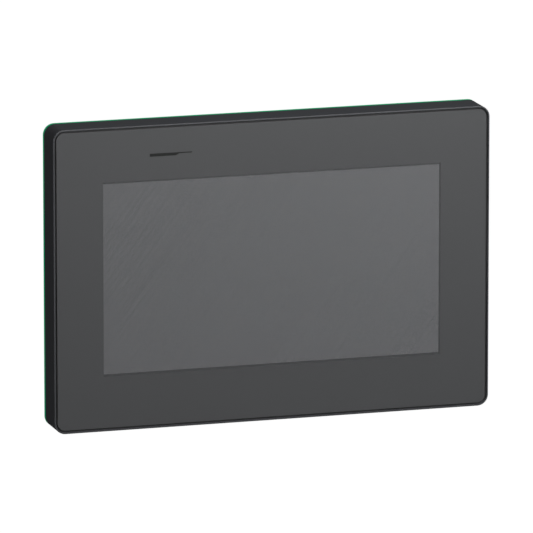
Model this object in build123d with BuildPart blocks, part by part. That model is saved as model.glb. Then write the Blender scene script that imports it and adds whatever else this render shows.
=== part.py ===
"""Modular HMI touch panel: a display box that stands in front of a cabinet door on a 22 mm stem,
and a control module that docks on the stem from behind the door.

Millimetres. +X is to the right of a person who faces the screen, +Z is up, and the screen looks along -Y.
The origin is on the stem's axis, in the plane of the door's front surface.
"""

import os

from build123d import *

os.makedirs("parts", exist_ok=True)

# ---------------------------------------------------------------- driving dimensions
PANEL_WIDTH = 199.8
PANEL_HEIGHT = 135.7
CORNER_RADIUS = 5.0
FRONT_Y = -17.8  # top of the lip round the front
SHEET_RECESS = 0.4  # the front sheet lies this much below the lip

WALL = 2.2
RIM_WIDTH = 0.6  # lit lip around the front sheet
RIM_ROUND = 0.3
SHEET_GAP = 0.9  # groove between the lip and the sheet
GROOVE_DEPTH = 1.2
SHEET_THICKNESS = 0.4
WEB_THICKNESS = 2.0  # bezel wall behind the sheet

ACTIVE_WIDTH = 154.08  # 7.0 inch wide screen
ACTIVE_HEIGHT = 85.0
WINDOW_SIDE_BORDER = 0.38
WINDOW_TOP_BORDER = 0.85

TRIM_THICKNESS = 2.0  # green trim ring
TRIM_WIDTH = 2.5
FLANGE_THICKNESS = 0.8
FLANGE_WIDTH = 1.1
GASKET_PROUD = 0.8  # how far the gasket stands behind the rear cover
GASKET_SEAT = 1.5

SLOT_LEFT = -56.1  # indicator slot in the front sheet
SLOT_RIGHT = -36.8
SLOT_HEIGHT = 1.4
SLOT_Z = 54.35
LENS_RIGHT_LOW = -44.1  # the lens has a slanted right end
LENS_RIGHT_HIGH = -42.6
TAIL_HEIGHT = 0.55  # the lens runs on to the right as a thin line along the top

GASKET_WIDTH, GASKET_HEIGHT, GASKET_RADIUS, GASKET_BAND = 172.0, 109.0, 5.0, 3.0

STEM_RADIUS = 11.0
STEM_BORE = 8.0
STEM_SHANK = 0.3  # the thread starts just behind the door's face, so that the nut can clamp a thin door
STEM_END = 18.0
STEM_RELIEF = 0.6
WASHER_THICKNESS = 1.2
NUT_THICKNESS = 5.0
NUT_ACROSS_FLATS = 28.0
THICKEST_DOOR = 6.0

MODULE_WIDTH = 118.0
MODULE_HEIGHT = 98.0
MODULE_FRONT = 7.0
MODULE_SPLIT = 21.0
MODULE_REAR = 38.5
MODULE_WALL = 2.0
MODULE_CORNER = 5.0

# ---------------------------------------------------------------- derived places
TRIM_REAR = -GASKET_PROUD
TRIM_FRONT = TRIM_REAR - TRIM_THICKNESS
SHEET_WIDTH = PANEL_WIDTH - 2 * (RIM_WIDTH + SHEET_GAP)
SHEET_HEIGHT = PANEL_HEIGHT - 2 * (RIM_WIDTH + SHEET_GAP)
SHEET_RADIUS = CORNER_RADIUS - RIM_WIDTH - SHEET_GAP
SHEET_FRONT = FRONT_Y + SHEET_RECESS
SHEET_REAR = SHEET_FRONT + SHEET_THICKNESS
WEB_REAR = SHEET_REAR + WEB_THICKNESS
WINDOW_WIDTH = ACTIVE_WIDTH + 2 * WINDOW_SIDE_BORDER
WINDOW_HEIGHT = ACTIVE_HEIGHT + 2 * WINDOW_TOP_BORDER
INNER_WIDTH = PANEL_WIDTH - 2 * WALL
INNER_HEIGHT = PANEL_HEIGHT - 2 * WALL

FLANGE_INNER_WIDTH = PANEL_WIDTH - 2 * TRIM_WIDTH - 2 * FLANGE_WIDTH
FLANGE_INNER_HEIGHT = PANEL_HEIGHT - 2 * TRIM_WIDTH - 2 * FLANGE_WIDTH

LCD_WIDTH, LCD_HEIGHT = 164.9, 100.0
TOUCH_REAR = SHEET_REAR + 0.7
LCD_REAR = TOUCH_REAR + 1.6
BACKLIGHT_REAR = LCD_REAR + 3.7
FOAM_REAR = BACKLIGHT_REAR + 0.6
BRACKET_REAR = FOAM_REAR + 1.0
BOARD_FRONT = BRACKET_REAR + 1.8
BOARD_REAR = BOARD_FRONT + 1.6
COVER_REAR = TRIM_REAR
COVER_INNER = COVER_REAR - 2.5

SCREW_RADIUS = 1.2
TAPPED_RADIUS = 1.25
CLEAR_RADIUS = 1.45

SLOT_BOTTOM = SLOT_Z - SLOT_HEIGHT / 2
SLOT_TOP = SLOT_Z + SLOT_HEIGHT / 2
LENS_OUTLINE = [
    (SLOT_LEFT, SLOT_BOTTOM),
    (LENS_RIGHT_LOW, SLOT_BOTTOM),
    (LENS_RIGHT_HIGH, SLOT_TOP - TAIL_HEIGHT),
    (SLOT_RIGHT, SLOT_TOP - TAIL_HEIGHT),
    (SLOT_RIGHT, SLOT_TOP),
    (SLOT_LEFT, SLOT_TOP),
]
LENS_LENGTH = SLOT_RIGHT - SLOT_LEFT
LENS_MIDDLE = (SLOT_RIGHT + SLOT_LEFT) / 2

COVER_SCREWS = [(x, z) for x in (-90.8, 0.0, 90.8) for z in (-59.2, 59.2)]
BRACKET_SCREWS = [(x, z) for x in (-88.0, 88.0) for z in (-44.0, 0.0, 44.0)]
BOARD_SCREWS = [(x, z) for x in (-66.0, 66.0) for z in (-47.0, 47.0)]
MODULE_SCREWS = [(x, z) for x in (-51.5, 51.5) for z in (-41.5, 41.5)]
STEM_SCREWS_CIRCLE = 14.2
PEG_Z = 21.0

MAIN_FRONT = STEM_END + 2.6
MAIN_REAR = MAIN_FRONT + 1.6
MODULE_BOTTOM = -MODULE_HEIGHT / 2


def at(y):
    """The plane across the panel at that depth; its normal looks out of the screen."""
    return Plane.XZ.offset(-y)


def above(z):
    """The horizontal plane at that height."""
    return Plane.XY.offset(z)


def save(part, name):
    part.part.label = name
    export_step(part.part, f"parts/{name}.step")


# ================================================================ display module
with BuildPart() as front_bezel:
    with BuildSketch(at(TRIM_FRONT)):
        RectangleRounded(PANEL_WIDTH, PANEL_HEIGHT, CORNER_RADIUS)
    extrude(amount=TRIM_FRONT - FRONT_Y)
    rim = front_bezel.faces().sort_by(Axis.Y)[0].edges()
    fillet(rim, RIM_ROUND)
    with BuildSketch(at(TRIM_FRONT)):
        RectangleRounded(INNER_WIDTH, INNER_HEIGHT, CORNER_RADIUS - WALL)
    extrude(amount=TRIM_FRONT - WEB_REAR, mode=Mode.SUBTRACT)
    with BuildSketch(at(WEB_REAR)):
        Rectangle(LCD_WIDTH + 0.7, LCD_HEIGHT + 0.7)
    extrude(amount=WEB_REAR - FRONT_Y, mode=Mode.SUBTRACT)
    # seat for the sheet, and the deeper groove round it
    with BuildSketch(at(SHEET_REAR)):
        RectangleRounded(SHEET_WIDTH + 2 * SHEET_GAP, SHEET_HEIGHT + 2 * SHEET_GAP, SHEET_RADIUS + SHEET_GAP)
    extrude(amount=SHEET_REAR - FRONT_Y, mode=Mode.SUBTRACT)
    with BuildSketch(at(FRONT_Y + GROOVE_DEPTH)):
        RectangleRounded(SHEET_WIDTH + 2 * SHEET_GAP, SHEET_HEIGHT + 2 * SHEET_GAP, SHEET_RADIUS + SHEET_GAP)
        RectangleRounded(SHEET_WIDTH, SHEET_HEIGHT, SHEET_RADIUS, mode=Mode.SUBTRACT)
    extrude(amount=GROOVE_DEPTH, mode=Mode.SUBTRACT)
    # bosses for the rear cover's and the display bracket's screws
    with BuildSketch(at(COVER_INNER)):
        with Locations(*COVER_SCREWS):
            Circle(3.2)
    extrude(amount=COVER_INNER - WEB_REAR)
    with BuildSketch(at(FOAM_REAR)):
        with Locations(*BRACKET_SCREWS):
            Circle(3.0)
    extrude(amount=FOAM_REAR - WEB_REAR)
    with BuildSketch(at(COVER_INNER)):
        with Locations(*COVER_SCREWS, *BRACKET_SCREWS):
            Circle(TAPPED_RADIUS)
    extrude(amount=11.2, mode=Mode.SUBTRACT)
    # way through for the light pipe and the touch sensor's tail
    with BuildSketch(at(WEB_REAR)):
        with Locations((LENS_MIDDLE, SLOT_Z)):
            Rectangle(LENS_LENGTH + 0.2, SLOT_HEIGHT + 0.2)
        with Locations((40, -LCD_HEIGHT / 2 - 0.9)):
            Rectangle(20, 1.4)
    extrude(amount=WEB_THICKNESS, mode=Mode.SUBTRACT)
save(front_bezel, "front_bezel")

with BuildPart() as front_sheet:
    with BuildSketch(at(SHEET_REAR)):
        RectangleRounded(SHEET_WIDTH, SHEET_HEIGHT, SHEET_RADIUS)
        Rectangle(WINDOW_WIDTH, WINDOW_HEIGHT, mode=Mode.SUBTRACT)
        Polygon(*LENS_OUTLINE, align=None, mode=Mode.SUBTRACT)
    extrude(amount=SHEET_THICKNESS)
save(front_sheet, "front_sheet")

with BuildPart() as screen_window:
    with BuildSketch(at(SHEET_REAR)):
        Rectangle(WINDOW_WIDTH, WINDOW_HEIGHT)
    extrude(amount=SHEET_THICKNESS)
save(screen_window, "screen_window")

with BuildPart() as touch_sensor:
    with BuildSketch(at(TOUCH_REAR)):
        Rectangle(LCD_WIDTH + 0.3, LCD_HEIGHT + 0.3)
    extrude(amount=TOUCH_REAR - SHEET_REAR)
save(touch_sensor, "touch_sensor")

with BuildPart() as touch_tail:
    with BuildSketch(at(BOARD_FRONT - 1.5)):
        with Locations((40, -LCD_HEIGHT / 2 - 1.1)):
            Rectangle(18, 0.2)
    extrude(amount=BOARD_FRONT - 1.5 - TOUCH_REAR)
save(touch_tail, "touch_tail")

with BuildPart() as lcd_glass:
    with BuildSketch(at(LCD_REAR)):
        Rectangle(LCD_WIDTH, LCD_HEIGHT)
    extrude(amount=LCD_REAR - TOUCH_REAR)
save(lcd_glass, "lcd_glass")

with BuildPart() as backlight_tray:
    with BuildSketch(at(BACKLIGHT_REAR)):
        Rectangle(LCD_WIDTH, LCD_HEIGHT)
    extrude(amount=BACKLIGHT_REAR - LCD_REAR)
    with BuildSketch(at(BACKLIGHT_REAR - 0.5)):
        Rectangle(LCD_WIDTH - 1.0, LCD_HEIGHT - 1.0)
    extrude(amount=BACKLIGHT_REAR - 0.5 - LCD_REAR, mode=Mode.SUBTRACT)
save(backlight_tray, "backlight_tray")

with BuildPart() as light_guide:
    with BuildSketch(at(BACKLIGHT_REAR - 0.5)):
        Rectangle(LCD_WIDTH - 1.4, LCD_HEIGHT - 1.4)
    extrude(amount=BACKLIGHT_REAR - 0.5 - LCD_REAR)
save(light_guide, "light_guide")

with BuildPart() as lcd_tail:
    with BuildSketch(at(BOARD_FRONT - 1.5)):
        with Locations((-20, -LCD_HEIGHT / 2 - 0.17)):
            Rectangle(30, 0.15)
    extrude(amount=BOARD_FRONT - 1.5 - TOUCH_REAR)
save(lcd_tail, "lcd_tail")

with BuildPart() as foam_strips:
    with BuildSketch(at(FOAM_REAR)):
        with GridLocations(0, LCD_HEIGHT - 14, 1, 2):
            Rectangle(LCD_WIDTH - 14, 6)
    extrude(amount=FOAM_REAR - BACKLIGHT_REAR)
save(foam_strips, "foam_strips")

with BuildPart() as lcd_bracket:
    with BuildSketch(at(BRACKET_REAR)):
        RectangleRounded(183, 107, 4)
        with Locations(*BRACKET_SCREWS, *BOARD_SCREWS):
            Circle(CLEAR_RADIUS, mode=Mode.SUBTRACT)
        # notches for the two flat cables, and lightening windows
        with Locations((40, -52), (-20, -52)):
            Rectangle(34, 6, mode=Mode.SUBTRACT)
        with GridLocations(58, 44, 3, 2):
            RectangleRounded(44, 30, 3, mode=Mode.SUBTRACT)
    extrude(amount=BRACKET_REAR - FOAM_REAR)
save(lcd_bracket, "lcd_bracket")


def pan_screws(name, places, head_y, head_radius, head_height, tip_y, recess=0.55):
    """Cross-recessed pan-head screws driven from behind: heads stand on head_y, tips reach tip_y."""
    with BuildPart() as screws:
        with BuildSketch(at(head_y + head_height)):
            with Locations(*places):
                Circle(head_radius)
        extrude(amount=head_height)
        fillet(screws.faces().sort_by(Axis.Y)[-len(places):].edges(), head_height * 0.35)
        with BuildSketch(at(head_y)):
            with Locations(*places):
                Circle(SCREW_RADIUS)
        extrude(amount=head_y - tip_y)
        with BuildSketch(at(head_y + head_height)):
            with Locations(*places):
                Rectangle(head_radius * 1.05, head_radius * 0.28)
                Rectangle(head_radius * 0.28, head_radius * 1.05)
        extrude(amount=head_height * recess, mode=Mode.SUBTRACT)
    save(screws, name)


pan_screws("bracket_screws", BRACKET_SCREWS, BRACKET_REAR, 2.3, 1.3, BRACKET_REAR - 4.6)

with BuildPart() as board_standoffs:
    with BuildSketch(at(BOARD_FRONT)):
        with Locations(*BOARD_SCREWS):
            Circle(2.6)
            Circle(TAPPED_RADIUS, mode=Mode.SUBTRACT)
    extrude(amount=BOARD_FRONT - BRACKET_REAR)
save(board_standoffs, "board_standoffs")

with BuildPart() as display_board:
    with BuildSketch(at(BOARD_REAR)):
        RectangleRounded(150, 111.6, 3)
        with Locations(*BOARD_SCREWS):
            Circle(CLEAR_RADIUS, mode=Mode.SUBTRACT)
    extrude(amount=BOARD_REAR - BOARD_FRONT)
save(display_board, "display_board")

pan_screws("board_screws", BOARD_SCREWS, BOARD_REAR, 2.3, 1.3, BOARD_REAR - 3.2)

with BuildPart() as display_board_chips:
    with BuildSketch(at(BOARD_REAR + 1.5)):
        with Locations((-40, 18)):
            Rectangle(14, 14)
        with Locations((-40, -6), (-40, -20)):
            Rectangle(11, 8)
        with Locations((42, -8)):
            Rectangle(10, 10)
        with Locations((0, -30)):
            with GridLocations(7, 9, 3, 2):
                Rectangle(4.2, 5.2)
    extrude(amount=1.5)
save(display_board_chips, "display_board_chips")

with BuildPart() as buzzer:
    with BuildSketch(at(BOARD_REAR + 1.9)):
        with Locations((48, 26)):
            RectangleRounded(9, 9, 1)
            Circle(0.8, mode=Mode.SUBTRACT)
    extrude(amount=1.9)
save(buzzer, "buzzer")

with BuildPart() as tail_sockets:
    with BuildSketch(at(BOARD_FRONT)):
        with Locations((40, -LCD_HEIGHT / 2 - 1.1)):
            Rectangle(21, 3.2)
        with Locations((-20, -LCD_HEIGHT / 2 - 0.17)):
            Rectangle(33, 3.2)
    extrude(amount=1.5)
save(tail_sockets, "tail_sockets")

with BuildPart() as status_led:
    with BuildSketch(at(BOARD_FRONT)):
        with Locations((LENS_MIDDLE, SLOT_Z)):
            Rectangle(3.2, 1.6)
    extrude(amount=1.1)
save(status_led, "status_led")

with BuildPart() as status_light_pipe:
    with BuildSketch(at(WEB_REAR)):
        Polygon(*LENS_OUTLINE, align=None)
    extrude(amount=WEB_REAR - SHEET_FRONT - 0.25)
    with BuildSketch(at(WEB_REAR + 0.9)):
        with Locations((LENS_MIDDLE, SLOT_Z)):
            Rectangle(LENS_LENGTH + 2.4, SLOT_HEIGHT + 2.0)
    extrude(amount=0.9)
    with BuildSketch(at(BOARD_FRONT - 1.2)):
        with Locations((LENS_MIDDLE, SLOT_Z)):
            Rectangle(3.6, SLOT_HEIGHT)
    extrude(amount=BOARD_FRONT - 1.2 - WEB_REAR)
save(status_light_pipe, "status_light_pipe")

with BuildPart() as trim_ring:
    with BuildSketch(at(TRIM_REAR)):
        RectangleRounded(PANEL_WIDTH, PANEL_HEIGHT, CORNER_RADIUS)
        RectangleRounded(
            PANEL_WIDTH - 2 * TRIM_WIDTH,
            PANEL_HEIGHT - 2 * TRIM_WIDTH,
            CORNER_RADIUS - TRIM_WIDTH,
            mode=Mode.SUBTRACT,
        )
    extrude(amount=TRIM_THICKNESS)
    chamfer(trim_ring.faces().sort_by(Axis.Y)[-1].outer_wire().edges(), 0.15)
    # inner flange that the rear cover holds down
    with BuildSketch(at(TRIM_FRONT + FLANGE_THICKNESS)):
        RectangleRounded(
            PANEL_WIDTH - 2 * TRIM_WIDTH,
            PANEL_HEIGHT - 2 * TRIM_WIDTH,
            CORNER_RADIUS - TRIM_WIDTH,
        )
        RectangleRounded(FLANGE_INNER_WIDTH, FLANGE_INNER_HEIGHT, 1.4, mode=Mode.SUBTRACT)
    extrude(amount=FLANGE_THICKNESS)
save(trim_ring, "trim_ring")

with BuildPart() as rear_cover:
    cover_width = PANEL_WIDTH - 2 * TRIM_WIDTH - 0.4
    cover_height = PANEL_HEIGHT - 2 * TRIM_WIDTH - 0.4
    cover_radius = CORNER_RADIUS - TRIM_WIDTH - 0.2
    with BuildSketch(at(COVER_REAR)):
        RectangleRounded(cover_width, cover_height, cover_radius)
    extrude(amount=COVER_REAR - TRIM_FRONT - FLANGE_THICKNESS)
    with BuildSketch(at(TRIM_FRONT + FLANGE_THICKNESS)):
        RectangleRounded(FLANGE_INNER_WIDTH - 0.4, FLANGE_INNER_HEIGHT - 0.4, 1.6)
    extrude(amount=TRIM_FRONT + FLANGE_THICKNESS - COVER_INNER)
    # skirt inside the bezel's wall
    with BuildSketch(at(COVER_INNER)):
        RectangleRounded(FLANGE_INNER_WIDTH - 0.4, FLANGE_INNER_HEIGHT - 0.4, 1.6)
        RectangleRounded(FLANGE_INNER_WIDTH - 3.2, FLANGE_INNER_HEIGHT - 3.2, 0.8, mode=Mode.SUBTRACT)
    extrude(amount=3.0)
    # gasket groove
    with BuildSketch(at(COVER_REAR)):
        RectangleRounded(GASKET_WIDTH + 0.2, GASKET_HEIGHT + 0.2, GASKET_RADIUS + 0.1)
        RectangleRounded(
            GASKET_WIDTH - 2 * GASKET_BAND - 0.2,
            GASKET_HEIGHT - 2 * GASKET_BAND - 0.2,
            GASKET_RADIUS - GASKET_BAND - 0.1,
            mode=Mode.SUBTRACT,
        )
    extrude(amount=GASKET_SEAT, mode=Mode.SUBTRACT)
    # hole for the stem, its key and its screws, and the peg's hole
    with BuildSketch(at(COVER_REAR)):
        Circle(STEM_RADIUS + 0.05)
        with Locations((0, PEG_Z)):
            Circle(2.0)
    extrude(amount=COVER_REAR - COVER_INNER, mode=Mode.SUBTRACT)
    with BuildSketch(at(COVER_INNER)):
        with PolarLocations(STEM_SCREWS_CIRCLE, 3, 30):
            Circle(0.8)
    extrude(amount=-1.8, mode=Mode.SUBTRACT)
    with BuildSketch(at(COVER_REAR)):
        with Locations(*COVER_SCREWS):
            Circle(2.7)
    extrude(amount=1.4, mode=Mode.SUBTRACT)
    with BuildSketch(at(COVER_REAR)):
        with Locations(*COVER_SCREWS):
            Circle(CLEAR_RADIUS)
    extrude(amount=COVER_REAR - COVER_INNER, mode=Mode.SUBTRACT)
save(rear_cover, "rear_cover")

pan_screws("cover_screws", COVER_SCREWS, COVER_REAR - 1.4, 2.4, 1.2, COVER_REAR - 9.5)

with BuildPart() as door_gasket:
    with BuildSketch(at(0)):
        RectangleRounded(GASKET_WIDTH, GASKET_HEIGHT, GASKET_RADIUS)
        RectangleRounded(
            GASKET_WIDTH - 2 * GASKET_BAND,
            GASKET_HEIGHT - 2 * GASKET_BAND,
            GASKET_RADIUS - GASKET_BAND,
            mode=Mode.SUBTRACT,
        )
    extrude(amount=GASKET_PROUD + GASKET_SEAT)
    chamfer(door_gasket.faces().sort_by(Axis.Y)[-1].edges(), 0.45)
save(door_gasket, "door_gasket")

with BuildPart() as mounting_stem:
    with BuildSketch(at(COVER_INNER)):
        Circle(17.0)
    extrude(amount=2.0)
    with BuildSketch(at(COVER_REAR)):
        Circle(STEM_RADIUS - 0.1)
    extrude(amount=COVER_REAR - COVER_INNER)
    with BuildSketch(at(STEM_SHANK)):
        Circle(STEM_RADIUS)
    extrude(amount=STEM_SHANK - COVER_REAR)
    with BuildSketch(at(STEM_SHANK + STEM_RELIEF)):
        Circle(STEM_RADIUS - 0.7)
    extrude(amount=STEM_RELIEF)
    with BuildSketch(at(STEM_END)):
        Circle(STEM_RADIUS)
    extrude(amount=STEM_END - STEM_SHANK - STEM_RELIEF)
    chamfer(mounting_stem.faces().sort_by(Axis.Y)[-1].edges(), 0.8)
    with BuildSketch(at(STEM_END)):
        Circle(STEM_BORE)
    extrude(amount=STEM_END - COVER_INNER + 2.0, mode=Mode.SUBTRACT)
    with BuildSketch(at(COVER_INNER)):
        with PolarLocations(STEM_SCREWS_CIRCLE, 3, 30):
            Circle(0.95)
    extrude(amount=2.0, mode=Mode.SUBTRACT)
save(mounting_stem, "mounting_stem")

with BuildPart() as stem_screws:
    with BuildSketch(at(COVER_INNER - 2.0)):
        with PolarLocations(STEM_SCREWS_CIRCLE, 3, 30):
            Circle(1.5)
    extrude(amount=0.5)
    with BuildSketch(at(COVER_INNER - 2.0)):
        with PolarLocations(STEM_SCREWS_CIRCLE, 3, 30):
            Circle(0.75)
    extrude(amount=-3.6)
save(stem_screws, "stem_screws")

with BuildPart() as anti_rotation_peg:
    with BuildSketch(at(COVER_REAR)):
        with Locations((0, PEG_Z)):
            Circle(1.98)
    extrude(amount=COVER_REAR - COVER_INNER)
    with BuildSketch(at(4.0)):
        with Locations((0, PEG_Z)):
            Circle(2.0)
    extrude(amount=4.0 - COVER_REAR)
    chamfer(anti_rotation_peg.faces().sort_by(Axis.Y)[-1].edges(), 0.4)
save(anti_rotation_peg, "anti_rotation_peg")

DOCK_PLUG_TIP = 10.0
with BuildPart() as dock_socket:
    with BuildSketch(at(14.0)):
        RectangleRounded(12.0, 6.0, 0.6)
    extrude(amount=14.0 - BOARD_REAR)
    with BuildSketch(at(14.0)):
        Rectangle(9.6, 3.6)
    extrude(amount=5.0, mode=Mode.SUBTRACT)
save(dock_socket, "dock_socket")

# ================================================================ nut and washer on the stem
WASHER_REAR = THICKEST_DOOR + WASHER_THICKNESS
with BuildPart() as lock_washer:
    with BuildSketch(at(WASHER_REAR)):
        Circle(15.5)
        Circle(STEM_RADIUS + 0.4, mode=Mode.SUBTRACT)
    extrude(amount=WASHER_THICKNESS)
save(lock_washer, "lock_washer")

NUT_FRONT = WASHER_REAR + 0.05
with BuildPart() as panel_nut:
    with BuildSketch(at(NUT_FRONT + NUT_THICKNESS)):
        RegularPolygon(NUT_ACROSS_FLATS / 2, 6, major_radius=False)
        Circle(STEM_RADIUS + 0.08, mode=Mode.SUBTRACT)
    extrude(amount=NUT_THICKNESS)
    # the hexagon's corners are turned down to a 30 degree cone at the rear
    with BuildSketch(Plane.XY):
        with BuildLine():
            Polyline(
                (14.2, NUT_FRONT + NUT_THICKNESS + 0.1),
                (17.0, NUT_FRONT + NUT_THICKNESS + 0.1),
                (17.0, NUT_FRONT + NUT_THICKNESS - 1.6),
                (14.2, NUT_FRONT + NUT_THICKNESS + 0.1),
            )
        make_face()
    revolve(axis=Axis.Y, mode=Mode.SUBTRACT)
save(panel_nut, "panel_nut")

# ================================================================ rear control module
NUT_POCKET_RADIUS = 20.0
NUT_POCKET_FLOOR = 14.5
LATCH_TRAVEL = 6.0
LATCH_Y = 14.0
with BuildPart() as module_front_shell:
    with BuildSketch(at(MODULE_SPLIT)):
        RectangleRounded(MODULE_WIDTH, MODULE_HEIGHT, MODULE_CORNER)
    extrude(amount=MODULE_SPLIT - MODULE_FRONT)
    chamfer(module_front_shell.faces().sort_by(Axis.Y)[0].edges(), 1.0)
    with BuildSketch(at(MODULE_SPLIT)):
        RectangleRounded(
            MODULE_WIDTH - 2 * MODULE_WALL, MODULE_HEIGHT - 2 * MODULE_WALL, MODULE_CORNER - MODULE_WALL
        )
    extrude(amount=MODULE_SPLIT - MODULE_FRONT - MODULE_WALL, mode=Mode.SUBTRACT)
    # inner lip that centres the rear shell
    with BuildSketch(at(MODULE_SPLIT + 1.0)):
        RectangleRounded(MODULE_WIDTH - 2 * MODULE_WALL - 0.2, MODULE_HEIGHT - 2 * MODULE_WALL - 0.2, 2.9)
        RectangleRounded(
            MODULE_WIDTH - 2 * MODULE_WALL - 2.2,
            MODULE_HEIGHT - 2 * MODULE_WALL - 2.2,
            1.9,
            mode=Mode.SUBTRACT,
        )
    extrude(amount=2.2)
    with BuildSketch(at(MODULE_SPLIT)):
        RectangleRounded(MODULE_WIDTH - 2, MODULE_HEIGHT - 2, MODULE_CORNER - 1)
        RectangleRounded(
            MODULE_WIDTH - 2 * MODULE_WALL - 2.2,
            MODULE_HEIGHT - 2 * MODULE_WALL - 2.2,
            1.9,
            mode=Mode.SUBTRACT,
        )
    extrude(amount=1.2)
    # cup that takes the nut, with a way through for the stem's end
    with BuildSketch(at(NUT_POCKET_FLOOR + 1.5)):
        Circle(NUT_POCKET_RADIUS + 1.5)
    extrude(amount=NUT_POCKET_FLOOR + 1.5 - MODULE_FRONT)
    with BuildSketch(at(NUT_POCKET_FLOOR)):
        Circle(NUT_POCKET_RADIUS)
    extrude(amount=NUT_POCKET_FLOOR - MODULE_FRONT, mode=Mode.SUBTRACT)
    with BuildSketch(at(MODULE_SPLIT)):
        Circle(STEM_RADIUS + 0.6)
    extrude(amount=MODULE_SPLIT - MODULE_FRONT, mode=Mode.SUBTRACT)
    # bosses that carry the board and take the screws
    with BuildSketch(at(MODULE_FRONT + MODULE_WALL)):
        with Locations(*MODULE_SCREWS):
            Circle(3.6)
    extrude(amount=-(MAIN_FRONT - MODULE_FRONT - MODULE_WALL))
    with BuildSketch(at(MAIN_FRONT)):
        with Locations(*MODULE_SCREWS):
            Circle(TAPPED_RADIUS)
    extrude(amount=9.0, mode=Mode.SUBTRACT)
    # slot that the latch's neck slides in
    with Locations((LATCH_TRAVEL / 2, LATCH_Y, MODULE_HEIGHT / 2 - MODULE_WALL / 2)):
        Box(8.0 + LATCH_TRAVEL + 0.6, 4.6, MODULE_WALL + 0.4, mode=Mode.SUBTRACT)
save(module_front_shell, "module_front_shell")

# ports on the underside and the right side, and the battery door on the rear
POWER_X = -38.4
HEADER_Y = MAIN_REAR + 6.2
JACK_XS = (-19.0, -1.0)
USB_HOST_X = 19.0
USB_DEVICE_X = 35.0
JACK_WIDTH, JACK_TALL, JACK_DEEP = 16.0, 13.4, 21.0
SERIAL_Z = -8.0
BATTERY_X, BATTERY_Z = -30.0, 20.0
DOOR_WIDTH, DOOR_HEIGHT, DOOR_THICKNESS = 32.0, 28.0, 1.6
HINGE_Z = BATTERY_Z + DOOR_HEIGHT / 2
HINGE_Y = MODULE_REAR - 1.3
TUB_FLOOR = 30.0

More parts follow.
